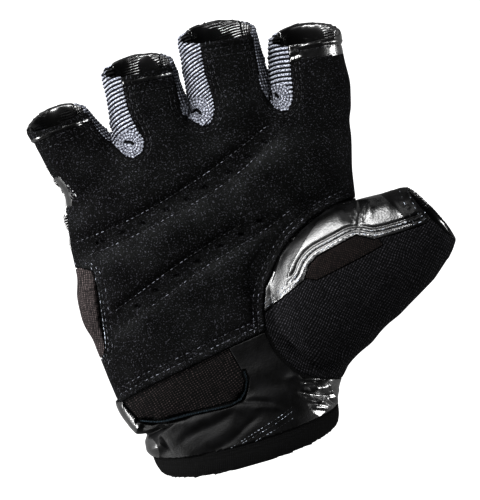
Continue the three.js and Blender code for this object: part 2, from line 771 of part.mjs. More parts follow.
take("cuff_hem", hemRegion, "#1b1b1d", 0.9, skin(palmSolid({ inset: -HEM_PROUD })));
take("side_knit", sideKnitRegion, "#4a4446", 0.9);
for (const name of Object.keys(WEBS)) take(name, webRegion(name), "#a9a6b4", 0.85);
shell = shell.subtract(perforations());
take("palm_panel", palmRegion, "#1a1a1b", 0.95);
take("wrist_insert", insertRegion, "#29262a", 0.9);
take("wrist_piping", pipingRegion, "#5c6a72", 0.8,
  skin(palmSolid({ inset: -PIPING_PROUD })));
take("thumb_leather", thumbLeatherRegion, "#0e0e0f", 0.3);
take("thumb_patch", thumbPatchRegion, "#2b2628", 0.9);
take("thumb_mesh", thumbMeshRegion, "#1d1c20", 0.9);
take("cuff_leather", cuffRegion, "#0f0f10", 0.4);
addPiece("back_panel", shell, "#101011", 0.4);

const box = new THREE.Box3().setFromObject(group);
const foot = box.getCenter(new THREE.Vector3()).setZ(box.min.z);
for (const node of group.children) node.geometry.translate(-foot.x, -foot.y, -foot.z);

export default group;
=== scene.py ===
# %% [markdown]
# # A half-finger lifting glove
# The glove lies on its back, palm up, filled as if a hand were in it. Leather, suede and
# knit panels are sewn edge to edge. The solids already have the shape and the panels, so
# each visible piece starts as a copy of its solid and gets rounder, softer and textured.

# %% Load the solids
import math

import bpy
import numpy as np
from mathutils import Matrix, Vector
from mathutils.bvhtree import BVHTree


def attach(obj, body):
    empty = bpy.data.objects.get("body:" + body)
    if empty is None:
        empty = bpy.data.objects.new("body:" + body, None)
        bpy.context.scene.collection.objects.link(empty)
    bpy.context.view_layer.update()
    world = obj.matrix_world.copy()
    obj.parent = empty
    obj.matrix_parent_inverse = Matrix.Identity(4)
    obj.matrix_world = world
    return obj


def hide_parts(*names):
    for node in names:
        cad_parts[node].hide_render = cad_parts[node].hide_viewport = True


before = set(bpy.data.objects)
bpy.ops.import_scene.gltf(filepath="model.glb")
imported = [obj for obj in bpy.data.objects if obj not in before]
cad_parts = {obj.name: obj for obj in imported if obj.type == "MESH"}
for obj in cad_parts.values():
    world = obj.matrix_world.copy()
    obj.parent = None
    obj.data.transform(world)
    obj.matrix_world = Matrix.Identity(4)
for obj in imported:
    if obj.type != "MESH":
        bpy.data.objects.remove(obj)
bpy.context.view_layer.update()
MM = 0.001

# %% [markdown]
# ## Camera
# The picture looks straight down on the glove, turned so that the fingers lean to the
# left. A long lens from 1.3 m keeps the sizes of near and far parts alike, as it does there.

# %% Camera
CAMERA_HEIGHT = 1.3
CAMERA_PLACE = (-0.0071, -0.0027)
CAMERA_TURN = -16
SEEN_HEIGHT = 0.1775      # what the picture's height takes in, 22 mm above the table
SEEN_AT = 0.022
CLIP_END = 10

camera_data = bpy.data.cameras.new("camera")
camera = bpy.data.objects.new("camera", camera_data)
bpy.context.scene.collection.objects.link(camera)
camera.location = (*CAMERA_PLACE, CAMERA_HEIGHT)
camera.rotation_euler = (0, 0, math.radians(CAMERA_TURN))
camera_data.lens = camera_data.sensor_width * (CAMERA_HEIGHT - SEEN_AT) / SEEN_HEIGHT
camera_data.clip_end = CLIP_END
bpy.context.scene.camera = camera
print("lens in mm:", round(camera_data.lens, 1))

# %% [markdown]
# ## Tools for the cloth
# An operator acts on what is selected, so `choose` first deselects everything. A solid
# comes as loose triangles, so `cloth_from` copies it and merges its corners.

# %% Selecting and copying
MERGED = 0.01 * MM      # corners closer than this become one


def choose(*objects):
    bpy.ops.object.select_all(action="DESELECT")
    for each in objects:
        each.select_set(True)
    bpy.context.view_layer.objects.active = objects[0]


def cloth_from(node, name):
    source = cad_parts[node]
    piece = bpy.data.objects.new(name, source.data.copy())
    bpy.context.scene.collection.objects.link(piece)
    piece.data.materials.clear()
    choose(piece)
    bpy.ops.object.mode_set(mode="EDIT")
    bpy.ops.mesh.select_all(action="SELECT")
    bpy.ops.mesh.remove_doubles(threshold=MERGED)
    bpy.ops.object.mode_set(mode="OBJECT")
    return piece


def finish_modifier(piece, kind, **settings):
    modifier = piece.modifiers.new(kind.title(), kind)
    for key, value in settings.items():
        setattr(modifier, key, value)
    choose(piece)
    bpy.ops.object.modifier_apply(modifier=modifier.name)


def remesh(piece, size):
    finish_modifier(piece, "REMESH", mode="VOXEL", voxel_size=size, adaptivity=0)


def smooth(piece, steps, **settings):
    finish_modifier(piece, "SMOOTH", factor=0.5, iterations=steps, **settings)


print("copying ready")


# %% Reading and moving points
def read(rows, key):
    """One vector for each vertex, normal or face, as an array."""
    flat = np.empty(len(rows) * 3, np.float32)
    rows.foreach_get(key, flat)
    return flat.reshape(-1, 3).astype(float)


def places(piece):
    return read(piece.data.vertices, "co")


def normals(piece):
    return read(piece.data.vertex_normals, "vector")


def put(piece, points):
    piece.data.vertices.foreach_set("co", points.astype(np.float32).ravel())
    piece.data.update()


def note(piece, name, values):
    layer = piece.data.attributes.new(name, "FLOAT", "POINT")
    layer.data.foreach_set("value", np.asarray(values, np.float32))


def tree_of(piece):
    return BVHTree.FromObject(piece, bpy.context.evaluated_depsgraph_get())


def ramp(values, low, high):
    """0 up to low, 1 from high on, with a smooth rise between them."""
    share = np.clip((values - low) / (high - low), 0, 1)
    return share * share * (3 - 2 * share)


def bell(values, width, power=2):
    """1 at zero, and next to nothing two widths away."""
    return np.exp(-(values / width) ** power)


print("tools ready")

# %% [markdown]
# ## Where the hand runs
# A point of the glove belongs to the palm, a finger or the thumb. Each of these is a tube
# about a line, and a table of the lines tells the outside of a wall from its inside, and
# how far a point lies behind the opening of its finger. Lengths here are in millimetres.

# %% Lines of the palm, fingers and thumb
LIMBS = {
    "palm": {"start": (-16, -78, 19), "end": (-12, 30, 16), "half": (50, 20)},
    "little": {"start": (-46.4, 28.2, 15.5), "end": (-57.1, 60.0, 20.0), "half": (12, 9)},
    "ring": {"start": (-25.0, 30.2, 15.5), "end": (-24.3, 69.6, 20.8), "half": (14, 10)},
    "middle": {"start": (3.5, 30.2, 15.5), "end": (6.0, 73.2, 21.3), "half": (15, 11)},
    "index": {"start": (28.4, 26.2, 15.5), "end": (35.7, 63.9, 20.6), "half": (14, 10)},
    "thumb": {"start": (5.4, -37.8, 21.1), "end": (62.4, -7.9, 36.0), "half": (20, 19)},
}
OPENING_TURN = {"little": -5, "ring": 4, "middle": 7, "index": 6.5, "thumb": 62.3}
LIMB_NAMES = list(LIMBS)
PAST_END = 9 * MM         # a limb loses its hold on points this far past its ends
OUTWARD = (0.15, 0.5)     # a wall starts to face outwards, and faces fully outwards


def limb_of(points):
    """For each point: the limb that it belongs to, and the unit vector away from its line."""
    best = np.full(len(points), np.inf)
    owner = np.zeros(len(points), int)
    away = np.zeros((len(points), 3))
    for index, limb in enumerate(LIMBS.values()):
        start, end = (np.array(limb[key]) * MM for key in ("start", "end"))
        line = end - start
        share = np.clip((points - start) @ line / (line @ line), 0, 1)
        off = points - start - share[:, None] * line
        across = np.cross(line / np.linalg.norm(line), (0, 0, 1))
        across /= np.linalg.norm(across)
        half = np.array(limb["half"]) * MM
        past = off @ line / np.linalg.norm(line)
        size = np.linalg.norm([(off @ across) / half[0], off[:, 2] / half[1],
                               past / PAST_END], axis=0)
        nearer = size < best
        best[nearer], owner[nearer], away[nearer] = size[nearer], index, off[nearer]
    away /= np.linalg.norm(away, axis=1)[:, None] + 1e-9
    return owner, away


def outside(points, facing):
    """1 on the outer surface, 0 on the inner one and on the walls between pieces."""
    return ramp(np.einsum("ij,ij->i", limb_of(points)[1], facing), *OUTWARD)


print("limbs:", ", ".join(LIMBS))

# %% [markdown]
# ## One soft skin
# A worn glove has no facets. All the solids are joined, remeshed as one closed skin and
# smoothed, and each panel later settles onto that skin, so that neighbours run on
# smoothly across their seams. Smoothing each panel by itself would part them.

# %% The soft skin
SKIN_VOXEL = 0.9 * MM
SKIN_SWELL = 0.2 * MM       # closes the gaps between the panels
SKIN_STEPS = 30

copies = [cloth_from(node, "skin_" + node) for node in sorted(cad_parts)
          if node != "wrist_piping"]
choose(*copies)
bpy.ops.object.join()
skin = bpy.context.view_layer.objects.active
skin.name = "soft_skin"
bpy.ops.object.mode_set(mode="EDIT")
bpy.ops.mesh.select_all(action="SELECT")
bpy.ops.transform.shrink_fatten(value=SKIN_SWELL)
bpy.ops.object.mode_set(mode="OBJECT")
remesh(skin, SKIN_VOXEL)
smooth(skin, SKIN_STEPS)
skin_tree = tree_of(skin)
print("skin points:", len(skin.data.vertices))


# %% Settling a panel onto the skin
def settle(piece, near=0.45 * MM, far=1.1 * MM):
    points = places(piece)
    goal, gap = points.copy(), np.empty(len(points))
    for index, point in enumerate(points):
        found, _, _, distance = skin_tree.find_nearest(point)
        goal[index], gap[index] = found, distance
    weight = 1 - ramp(gap, near, far)
    put(piece, points + (goal - points) * weight[:, None])


print("settling ready")

# %% [markdown]
# ## Creases, folds and rows in the surface
# Sewing pulls leather down along its rows, hems stand up where the cloth is doubled, and
# elastic gathers the leather into folds. Each is a short line in plan with a width and a
# height, and the points of a panel's outer surface move along their normals by the sum.
# A displacement texture could do the same, but a line puts each fold where it belongs.

# %% Lines in plan
def reached_along(line):
    """The length of a line up to each of its points."""
    return np.concatenate([[0], np.cumsum(np.linalg.norm(np.diff(line, axis=0), axis=1))])


def at_even_steps(line, count):
    reached = reached_along(line)
    even = np.linspace(0, reached[-1], count)
    return np.column_stack([np.interp(even, reached, line[:, axis]) for axis in (0, 1)])


def line_distance(points, line):
    """Distance in plan from each point to a line in metres, and the share along it."""
    flat = points[:, :2]
    best = np.full(len(flat), np.inf)
    along = np.zeros(len(flat))
    reached = reached_along(line)
    for index, (start, end) in enumerate(zip(line[:-1], line[1:])):
        step = end - start
        share = np.clip((flat - start) @ step / (step @ step), 0, 1)
        gap = np.linalg.norm(flat - start - share[:, None] * step, axis=1)
        nearer = gap < best
        best[nearer] = gap[nearer]
        length = reached[index + 1] - reached[index]
        along[nearer] = (reached[index] + share[nearer] * length) / reached[-1]
    return best, along


def smooth_line(points, count=40):
    """A smooth line in metres from a few points in millimetres."""
    rows = np.array(points, float) * MM
    for _ in range(3):
        middle = (rows[:-1] + rows[1:]) / 2
        corner = np.empty((2 * len(middle), 2))
        corner[0::2] = rows[:-1] * 0.75 + rows[1:] * 0.25
        corner[1::2] = rows[:-1] * 0.25 + rows[1:] * 0.75
        rows = np.vstack([rows[:1], corner[1:-1], rows[-1:]])
    return at_even_steps(rows, count)


print("lines ready")

# %% Moving the surface
FLAT, ROUND = (0.0, 0.35), (-0.6, -0.1)     # how far up a fold's surface has to face


def fold_height(points, facing, folds):
    """Sum of the heights of folds, on top or, where they wrap, on the sides too."""
    height = np.zeros(len(points))
    flat, round_about = ramp(facing[:, 2], *FLAT), ramp(facing[:, 2], *ROUND)
    for fold in folds:
        side = round_about if fold["wraps"] else flat
        gap, along = line_distance(points, fold["line"])
        fade = ramp(np.minimum(along, 1 - along), 0.0, fold["fade"])
        height += fold["height"] * fade * bell(gap, fold["width"]) * side
    return height * MM


def move_out(piece, folds, more=None):
    """Moves the outer surface along its normals, by folds and by what else is given."""
    points, facing = places(piece), normals(piece)
    height = fold_height(points, facing, folds)
    if more:
        height += more(points, facing)
    put(piece, points + facing * (height * outside(points, facing))[:, None])


print("folds ready")

# %% [markdown]
# ## Materials
# Each finish starts from the real stuff: brushed split leather, glazed grain leather,
# elastic knits, tape and polyester thread. Sizes are in metres, so a pattern of pitch p
# gets a scale of 1 / p. One function adds a node, and one turns a picture colour linear.

# %% One function for nodes and one for colours
def linear(code):
    parts = [int(code[index:index + 2], 16) / 255 for index in (1, 3, 5)]
    return tuple(((v + 0.055) / 1.055) ** 2.4 if v > 0.04045 else v / 12.92
                 for v in parts) + (1.0,)


def add(tree, kind, inputs=(), **settings):
    """Adds a node. An input is a plain value, or another node's output to link."""
    made = tree.nodes.new("ShaderNode" + kind)
    for key, value in settings.items():
        setattr(made, key, value)
    for key, value in dict(inputs).items():
        if isinstance(value, bpy.types.NodeSocket):
            tree.links.new(value, made.inputs[key])
        else:
            made.inputs[key].default_value = value
    return made


def start(name, **shader):
    """A new material with its shader, object coordinates and tree."""
    material = bpy.data.materials.new(name)
    material.use_nodes = True
    tree = material.node_tree
    tree.nodes.clear()
    surface = add(tree, "BsdfPrincipled", {key.replace("_", " "): value
                                           for key, value in shader.items()})
    output = add(tree, "OutputMaterial")
    tree.links.new(surface.outputs[0], output.inputs[0])
    coordinates = add(tree, "TexCoord").outputs["Object"]
    return material, tree, surface, coordinates


def combined(tree, operation, first, second=0.0):
    """What a Math node makes of two values."""
    return add(tree, "Math", {0: first, 1: second}, operation=operation).outputs[0]


def attribute(tree, name):
    """A number kept on the points of a piece."""
    return add(tree, "Attribute", attribute_name=name).outputs["Fac"]


def mapped(tree, value, low=0.0, high=1.0, first=0.0, last=1.0):
    """A value from low to high, as one from first to last."""
    return add(tree, "MapRange", {"Value": value, "From Min": low, "From Max": high,
                                  "To Min": first, "To Max": last}).outputs["Result"]


def noise(tree, coordinates, scale, detail, output="Fac"):
    return add(tree, "TexNoise", {"Vector": coordinates, "Scale": scale,
                                  "Detail": detail}).outputs[output]


def speckle(tree, coordinates, scale, low, high, detail):
    """0 to 1 from a noise, cut off between two of its values."""
    return mapped(tree, noise(tree, coordinates, scale, detail), low, high)


def blend(tree, share, first, second):
    """A colour between two, each a hex code or another node's colour."""
    made = add(tree, "Mix", {0: share}, data_type="RGBA")
    for socket, value in ((made.inputs[6], first), (made.inputs[7], second)):
        if isinstance(value, bpy.types.NodeSocket):
            tree.links.new(value, socket)
        else:
            socket.default_value = linear(value)
    return made.outputs[2]


def relief(tree, surface, height, distance, strength=0.8, under=None):
    """A bump of a height in metres, on top of another bump if there is one."""
    inputs = {"Height": height, "Distance": distance, "Strength": strength}
    if under:
        inputs["Normal"] = under
    bump = add(tree, "Bump", inputs).outputs["Normal"]
    tree.links.new(bump, surface.inputs["Normal"])
    return bump


def paint(tree, surface, share, first, second):
    tree.links.new(blend(tree, share, first, second), surface.inputs["Base Color"])


print("material tools ready")

# %% [markdown]
# ### Brushed split leather
# The palm is suede: leather split to half its thickness and brushed to a short nap. It
# throws back almost no light, and single lighter fibres show as specks about 0.5 mm wide.

# %% Suede
CLOUD_SCALE, FIBRE_SCALE, NAP_SCALE = 90, 1900, 1400     # 11, 0.5 and 0.7 mm


def make_suede():
    material, tree, surface, place = start(
        "split_leather_brushed", Roughness=0.95, Specular_IOR_Level=0.05)
    cloudy = speckle(tree, place, CLOUD_SCALE, 0.30, 0.75, 4)
    # Painted light and shade: the number kept on the points lightens the pads' upper edges
    # and the vents' rims, and darkens the channels and the vents. A slow noise mottles it.
    painted_light_and_mottle = combined(tree, "MULTIPLY", attribute(tree, "nap_light_and_shade"), cloudy)
    ground = blend(tree, painted_light_and_mottle, "#020202", "#1e1f1f")
    fibres = speckle(tree, place, FIBRE_SCALE, 0.58, 0.80, 1)
    share = combined(tree, "MULTIPLY", fibres, mapped(tree, painted_light_and_mottle, first=0.35))
    paint(tree, surface, share, ground, "#55555c")
    relief(tree, surface, noise(tree, place, NAP_SCALE, 3), 0.5 * MM, 0.7)
    return material


# %% [markdown]
# ### Glazed grain leather
# The thumb, the cuff and the back are thin leather with its grain side out, polished under
# glass rollers. It mirrors a lamp as a broad soft shine, broken by grain of about 0.7 mm.

# %% Smooth leather
GLAZED = -0.18      # change in roughness where no wear has reached
PATCH_SCALE, GRAIN_SCALE, CREASE_SCALE = 160, 1300, 420     # 6, 0.8 and 2.4 mm


def make_leather(name, roughness, grain, creasing, gloss=0.7, glaze=0.6, wear=None):
    """Grain and creasing are heights in millimetres, and wear names an attribute."""
    material, tree, surface, place = start(
        name, Roughness=roughness, Specular_IOR_Level=gloss, Coat_Weight=glaze,
        Coat_Roughness=0.25)
    patch = speckle(tree, place, PATCH_SCALE, 0.35, 0.70, 3)
    paint(tree, surface, patch, "#040404", "#0b0b0c")
    rough = mapped(tree, patch, first=roughness - 0.04, last=roughness + 0.08)
    if wear:
        glazed = mapped(tree, attribute(tree, wear), first=GLAZED, last=0.0)
        rough = combined(tree, "ADD", rough, glazed)
    tree.links.new(rough, surface.inputs["Roughness"])
    cells = add(tree, "TexVoronoi", {"Vector": place, "Scale": GRAIN_SCALE}, feature="F1")
    first = relief(tree, surface, cells.outputs["Distance"], grain * MM)
    creases = noise(tree, place, CREASE_SCALE, 4)
    bumped = relief(tree, surface, creases, creasing * MM, under=first)
    tree.links.new(bumped, surface.inputs["Coat Normal"])
    return material


# %% [markdown]
# ### Lining
# Inside the openings shows a folded tape of smooth black nylon. Its fine puckers run round
# the opening and catch the lamps as short bright streaks, more in some places than others.

# %% Lining
STREAK_SCALE = 340      # puckers of 0.9 mm
STREAKED_SCALE = 110    # in places about 9 mm wide


def make_lining():
    material, tree, surface, place = start(
        "nylon_tape_folded", Roughness=0.25, Specular_IOR_Level=0.6)
    dark = speckle(tree, place, PATCH_SCALE, 0.35, 0.70, 3)
    paint(tree, surface, dark, "#030303", "#09090a")
    puckers = add(tree, "TexWave", {"Vector": place, "Scale": STREAK_SCALE,
                                    "Distortion": 2.5, "Detail": 2, "Detail Scale": 0.6},
                  bands_direction="Y").outputs["Fac"]
    streaked = speckle(tree, place, STREAKED_SCALE, 0.50, 0.62, 1)
    height = combined(tree, "MULTIPLY", puckers, streaked)
    relief(tree, surface, height, 0.16 * MM, 1.0)
    return material


# %% [markdown]
# ### Elastic rib knit
# The strips between the fingers are a pale stretch knit whose raised ribs lie across the
# strip. The ribs are real shape, and a number kept on each point says how high it stands:
# the tops keep the pale colour of the yarn, and the valleys are painted dark as shade.

# %% Rib knit
YARN_SCALE = 2200      # 0.5 mm


def make_rib_knit():
    material, tree, surface, place = start(
        "elastic_rib_knit", Roughness=0.85, Specular_IOR_Level=0.06)
    height = mapped(tree, attribute(tree, "rib"), 0.50, 0.92)
    yarn = speckle(tree, place, YARN_SCALE, 0.38, 0.62, 1)
    # Painted shade: the lower a point of the knit stands, the nearer to black it is painted,
    # in the wide part, the narrow part and the foot alike.
    ribs = blend(tree, height, "#08090b", blend(tree, yarn, "#43454c", "#999ba3"))
    narrow = blend(tree, height, "#08090b", blend(tree, yarn, "#2a2c31", "#72767f"))
    paint(tree, surface, attribute(tree, "strip"), ribs, narrow)
    relief(tree, surface, yarn, 0.12 * MM, 0.6)
    return material


# %% [markdown]
# ### Knits and tape
# The other cloths are knits too fine to count: small loops in rows. A product of two waves
# gives the rows of loops, with a pitch of 0.6 to 0.9 mm, drawn just coarse enough to show.
# A slow noise bends the rows, and another makes the loops uneven.

# %% Knits with rows of loops
WANDER, WANDER_SCALE = 3.0 * MM, 110      # reach and scale of the noise that bends them
UNEVEN_SCALE = 900                        # 1.1 mm
LOOP_LENGTH = 1.25                        # over the loop's width
LOOP_GAP = 0.35                           # what is left of a loop's height between rows


def make_loops(name, dark, light, pitch, turn, depth=0.12, cut=0.35):
    """Pitch and depth in millimetres, turn in degrees. Loops lower than cut stay dark."""
    material, tree, surface, place = start(name, Roughness=0.85, Specular_IOR_Level=0.06)
    drawn = noise(tree, place, WANDER_SCALE, 1, "Color")
    drawn = add(tree, "VectorMath", {0: drawn, 1: (0.5,) * 3}, operation="SUBTRACT")
    drawn = add(tree, "VectorMath", {0: drawn.outputs[0], 1: (WANDER,) * 3},
                operation="MULTIPLY")
    place = add(tree, "VectorMath", {0: place, 1: drawn.outputs[0]}).outputs[0]
    turned = add(tree, "Mapping", {"Vector": place, "Rotation": (0, 0, math.radians(turn))})
    parts = add(tree, "SeparateXYZ", {0: turned.outputs[0]}).outputs
    waves = []
    for axis, stretch in ((0, 1.0), (1, LOOP_LENGTH)):
        phase = combined(tree, "MULTIPLY", parts[axis], 2 * math.pi / (pitch * stretch * MM))
        waves.append(mapped(tree, combined(tree, "SINE", phase), low=-1.0))
    loops = combined(tree, "MULTIPLY", waves[0], mapped(tree, waves[1], first=LOOP_GAP))
    uneven = speckle(tree, place, UNEVEN_SCALE, 0.30, 0.75, 2)
    share = combined(tree, "MULTIPLY", mapped(tree, loops, low=cut), uneven)
    paint(tree, surface, share, dark, light)
    relief(tree, surface, loops, depth * MM)
    return material


# %% Thread
THREAD_SCALE = 500      # 2 mm, about a stitch


def make_thread(name, dark, light):
    material, tree, surface, place = start(name, Roughness=0.6, Specular_IOR_Level=0.2)
    share = speckle(tree, place, THREAD_SCALE, 0.45, 0.70, 1)
    paint(tree, surface, share, dark, light)
    return material


# %% All finishes
FINISHES = {
    "suede": make_suede(),
    "thumb_leather": make_leather("grain_leather_glazed_thumb", 0.42, 0.06, 0.12, 1.0,
                                  0.0, "wear"),
    "leather": make_leather("grain_leather_glazed", 0.30, 0.035, 0.10),
    "cuff_leather": make_leather("grain_leather_satin", 0.45, 0.035, 0.10, 0.10, 0.0),
    "rib_knit": make_rib_knit(),
    "air_mesh": make_loops("air_mesh_knitted", "#040405", "#3a393d", 0.85, 43, 0.25, 0.25),
    "side_knit": make_loops("side_knit_elastane", "#141212", "#574f4f", 0.62, 20, 0.08, 0.1),
    "patch_knit": make_loops("patch_knit_elastane", "#0a0808", "#382f2c", 0.6, 30, 0.08),
    "insert_knit": make_loops("insert_knit_elastic", "#040404", "#433a3a", 0.8, 74, 0.12,
                              0.45),
    "binding": make_loops("binding_tape_folded", "#040404", "#111113", 0.7, 15, 0.08, 0.2),
    "piping": make_loops("piping_woven", "#0a0f12", "#2b363e", 0.6, 50, 0.06, 0.1),
    "lining": make_lining(),
    "thread_dark": make_thread("polyester_thread_black", "#060607", "#66676e"),
    "thread_black": make_thread("polyester_thread_matt", "#040405", "#38393d"),
    "thread_light": make_thread("polyester_thread_waxed", "#111214", "#8f949c"),
}
print("finishes:", ", ".join(FINISHES))

# %% [markdown]
# ## The panels
# Each solid becomes a panel: copied, remeshed fine enough for its detail and settled onto
# the skin. Knit needs the finest mesh, because its ribs are real shape.

# %% Panels and their finishes
PANELS = {      # by node: name, voxel in mm, finish and slot
    "palm_panel": ("suede_palm", 0.58, "suede", "suede"),
    "back_panel": ("leather_back", 0.70, "leather", "smooth_leather"),
    "thumb_leather": ("leather_thumb", 0.36, "thumb_leather", "smooth_leather"),
    "thumb_patch": ("knit_thumb_patch", 0.40, "patch_knit", "flat_knit"),
    "thumb_mesh": ("mesh_thumb", 0.52, "air_mesh", "air_mesh"),
    "cuff_leather": ("leather_cuff", 0.42, "cuff_leather", "smooth_leather"),
    "cuff_hem": ("binding_cuff", 0.40, "binding", "binding_knit"),
    "side_knit": ("knit_side", 0.42, "side_knit", "flat_knit"),
    "wrist_insert": ("knit_wrist_insert", 0.42, "insert_knit", "insert_knit"),
    "wrist_piping": ("piping_wrist", 0.28, "piping", "piping"),
    "web_little_ring": ("rib_web_little_ring", 0.27, "rib_knit", "rib_knit"),
    "web_ring_middle": ("rib_web_ring_middle", 0.27, "rib_knit", "rib_knit"),
    "web_middle_index": ("rib_web_middle_index", 0.27, "rib_knit", "rib_knit"),
}
PANEL_STEPS = 3

pieces = {}
for node, (name, voxel, _, _) in PANELS.items():
    piece = cloth_from(node, name)
    remesh(piece, voxel * MM)
    if node != "wrist_piping":
        settle(piece)
    smooth(piece, PANEL_STEPS)
    pieces[node] = piece
    print(name, len(piece.data.vertices), "points")

# %% [markdown]
# ### Seam allowances
# Inside the glove the cloth of both panels runs on past each seam, so no light comes
# through. The soft skin, sunk below the surface and kept only where two panels meet,
# becomes that doubled cloth.

# %% Seam allowances
ALLOWANCE_DEPTH = 0.55 * MM
ALLOWANCE_REACH = 2.0 * MM
ALLOWANCE_OUTER = 0.2      # how far outwards the skin has to face
panel_trees = [tree_of(piece) for piece in pieces.values()]
points, facing = places(skin), normals(skin)
sunk = points - facing * ALLOWANCE_DEPTH
near_two = np.zeros(len(points), bool)
for index in np.flatnonzero(outside(points, facing) > ALLOWANCE_OUTER):
    near = 0
    for tree in panel_trees:
        near += tree.find_nearest(sunk[index], ALLOWANCE_REACH)[0] is not None
        if near == 2:
            near_two[index] = True
            break
put(skin, sunk)
choose(skin)
bpy.ops.object.mode_set(mode="EDIT")
bpy.ops.mesh.select_all(action="DESELECT")
bpy.ops.object.mode_set(mode="OBJECT")
skin.data.vertices.foreach_set("select", ~near_two)
bpy.ops.object.mode_set(mode="EDIT")
bpy.ops.mesh.delete(type="VERT")
bpy.ops.object.mode_set(mode="OBJECT")
skin.name = "seam_allowances"
allowances = skin
print("seam allowances:", len(allowances.data.vertices), "points")

# %% [markdown]
# ## Seams read from the panels
# Rows of stitches run beside the seams, so their lines are read from the panels: the
# points of one panel that lie close to its neighbour are chained from end to end, evened
# out, and moved sideways by the distance of the row from the edge.

# %% Following a seam
OUTER, UPWARD = 0.5, 0.05      # how far outwards and upwards an edge has to face


def near_points(node, neighbours, reach=0.9 * MM):
    points, facing = places(pieces[node]), normals(pieces[node])
    points = points[(outside(points, facing) > OUTER) & (facing[:, 2] > UPWARD)]
    trees = [tree_of(pieces[name]) for name in neighbours]
    close = [p for p in points
             if any(tree.find_nearest(p, reach)[0] is not None for tree in trees)]
    return np.array(close)[:, :2]


def far_end(links, lengths, here):
    """The spot furthest from one along a tree of links, and the way back to it."""
    reached, way, waiting = {here: 0.0}, {here: None}, [here]
    while waiting:
        spot = waiting.pop()
        for other in links[spot]:
            if other not in reached:
                reached[other] = reached[spot] + lengths[spot, other]
                way[other] = spot
                waiting.append(other)
    last = max(reached, key=reached.get)
    path = [last]
    while way[path[-1]] is not None:
        path.append(way[path[-1]])
    return path, len(reached)


def chain(points, cell=1.3 * MM, jump=5 * MM):
    """Plan points in the order in which they follow each other, one for each cell."""
    keys = np.round(points / cell).astype(int)
    _, group = np.unique(keys, axis=0, return_inverse=True)
    group = group.ravel()
    spots = np.array([points[group == g].mean(axis=0) for g in range(group.max() + 1)])
    lengths = np.linalg.norm(spots[:, None] - spots[None], axis=2)
    links = {index: [] for index in range(len(spots))}
    nearest, gap = np.zeros(len(spots), int), lengths[0].copy()
    outside_tree = np.ones(len(spots), bool)
    outside_tree[0] = False
    while outside_tree.any():
        new = int(np.where(outside_tree, gap, np.inf).argmin())
        outside_tree[new] = False
        if gap[new] < jump:
            links[new].append(int(nearest[new]))
            links[int(nearest[new])].append(new)
        closer = lengths[new] < gap
        nearest[closer & outside_tree] = new
        gap = np.where(outside_tree, np.minimum(gap, lengths[new]), gap)
    starts = {index: far_end(links, lengths, index)[1] for index in links}
    here = max(starts, key=starts.get)
    one_end = far_end(links, lengths, here)[0][0]
    return spots[far_end(links, lengths, one_end)[0]]


def relaxed(line, passes):
    for _ in range(passes):
        line[1:-1] = (line[:-2] + 2 * line[1:-1] + line[2:]) / 4
    return line


def evened(line, step=1.0 * MM, passes=4):
    line = relaxed(line, passes)
    return at_even_steps(line, max(4, int(reached_along(line)[-1] / step)))


def beside(line, distance, passes=6):
    """The line moved to its left by a distance, or to its right if that is negative."""
    tangent = np.gradient(line, axis=0)
    tangent /= np.linalg.norm(tangent, axis=1)[:, None] + 1e-12
    moved = line + np.column_stack([-tangent[:, 1], tangent[:, 0]]) * distance
    return evened(moved, passes=passes)


print("seam tools ready")

# %% All seams
ABOVE, BELOW = 0.2, -0.05      # heights in metres over every piece and under the table
PROBE, PROBED = 2 * MM, 8      # how far beside a seam, and at how many points, it is tried


def under(tree, x, y):
    """What a ray from above meets on a piece: its place, then its normal."""
    return tree.ray_cast(Vector((x, y, ABOVE)), Vector((0, 0, -1)))


def own_gap(tree, x, y):
    """How far a plan point is from a piece: nothing, if the piece lies under it."""
    found = under(tree, x, y)[0]
    return tree.find_nearest(Vector((x, y, found.z if found else BELOW)))[3]


def seam(node, neighbours, passes=8):
    """The seam from a panel to its neighbours, with the panel on the line's left."""
    line = evened(chain(near_points(node, neighbours)), passes=passes)
    middle, own, gaps = len(line) // 2, tree_of(pieces[node]), []
    for way in (1, -1):
        tries = beside(line, way * PROBE)[max(0, middle - PROBED):middle + PROBED]
        gaps.append(np.mean([own_gap(own, x, y) for x, y in tries]))
    return line if gaps[0] <= gaps[1] else line[::-1].copy()


SEAMS = {
    "web_1": ("palm_panel", ["web_little_ring"], 2),
    "web_2": ("palm_panel", ["web_ring_middle"], 2),
    "web_3": ("palm_panel", ["web_middle_index"], 2),
    "heel": ("palm_panel", ["wrist_insert", "cuff_leather"]),
    "thumb": ("palm_panel", ["thumb_leather", "thumb_patch", "thumb_mesh"]),
    "side": ("palm_panel", ["side_knit"]),
    "strip": ("thumb_leather", ["thumb_patch", "thumb_mesh"], 3),
    "cuff": ("cuff_leather", ["cuff_hem"]),
}
lines = {name: seam(*ends) for name, ends in SEAMS.items()}
for name, line in lines.items():
    length = np.linalg.norm(np.diff(line, axis=0), axis=1).sum()
    print("seam", name, "is", round(length / MM), "mm long, from",
          np.round(line[0] / MM), "to", np.round(line[-1] / MM))

# %% [markdown]
# Where the knit strips end, a sewn edge turns in a round curve. The seam lines there are
# evened out, and the edges of the strip and of the suede move with them.

# %% Round feet of the knit strips
WEB_OF_LINE = {"web_1": "web_little_ring", "web_2": "web_ring_middle",
               "web_3": "web_middle_index"}
FOOT_PASSES = 10
FOOT_PULL = (1.5 * MM, 5 * MM)         # points this near follow the seam fully, and not
FOOT_LEVEL = (17 * MM, 21 * MM)        # only the side that faces up moves
for name, node in WEB_OF_LINE.items():
    line = lines[name]
    goal = relaxed(line.copy(), FOOT_PASSES)
    shift = goal - line
    for piece in (pieces[node], pieces["palm_panel"]):
        points = places(piece)
        close = np.linalg.norm(points[:, None, :2] - line[None, ::2], axis=2)
        spot = 2 * close.argmin(axis=1)
        weight = 1 - ramp(close.min(axis=1), *FOOT_PULL)
        weight *= ramp(points[:, 2], *FOOT_LEVEL)
        points[:, :2] += shift[spot] * weight[:, None]
        put(piece, points)
    lines[name] = evened(goal, passes=2)
    print(name, "moved by up to", round(np.abs(shift).max() / MM, 1), "mm")

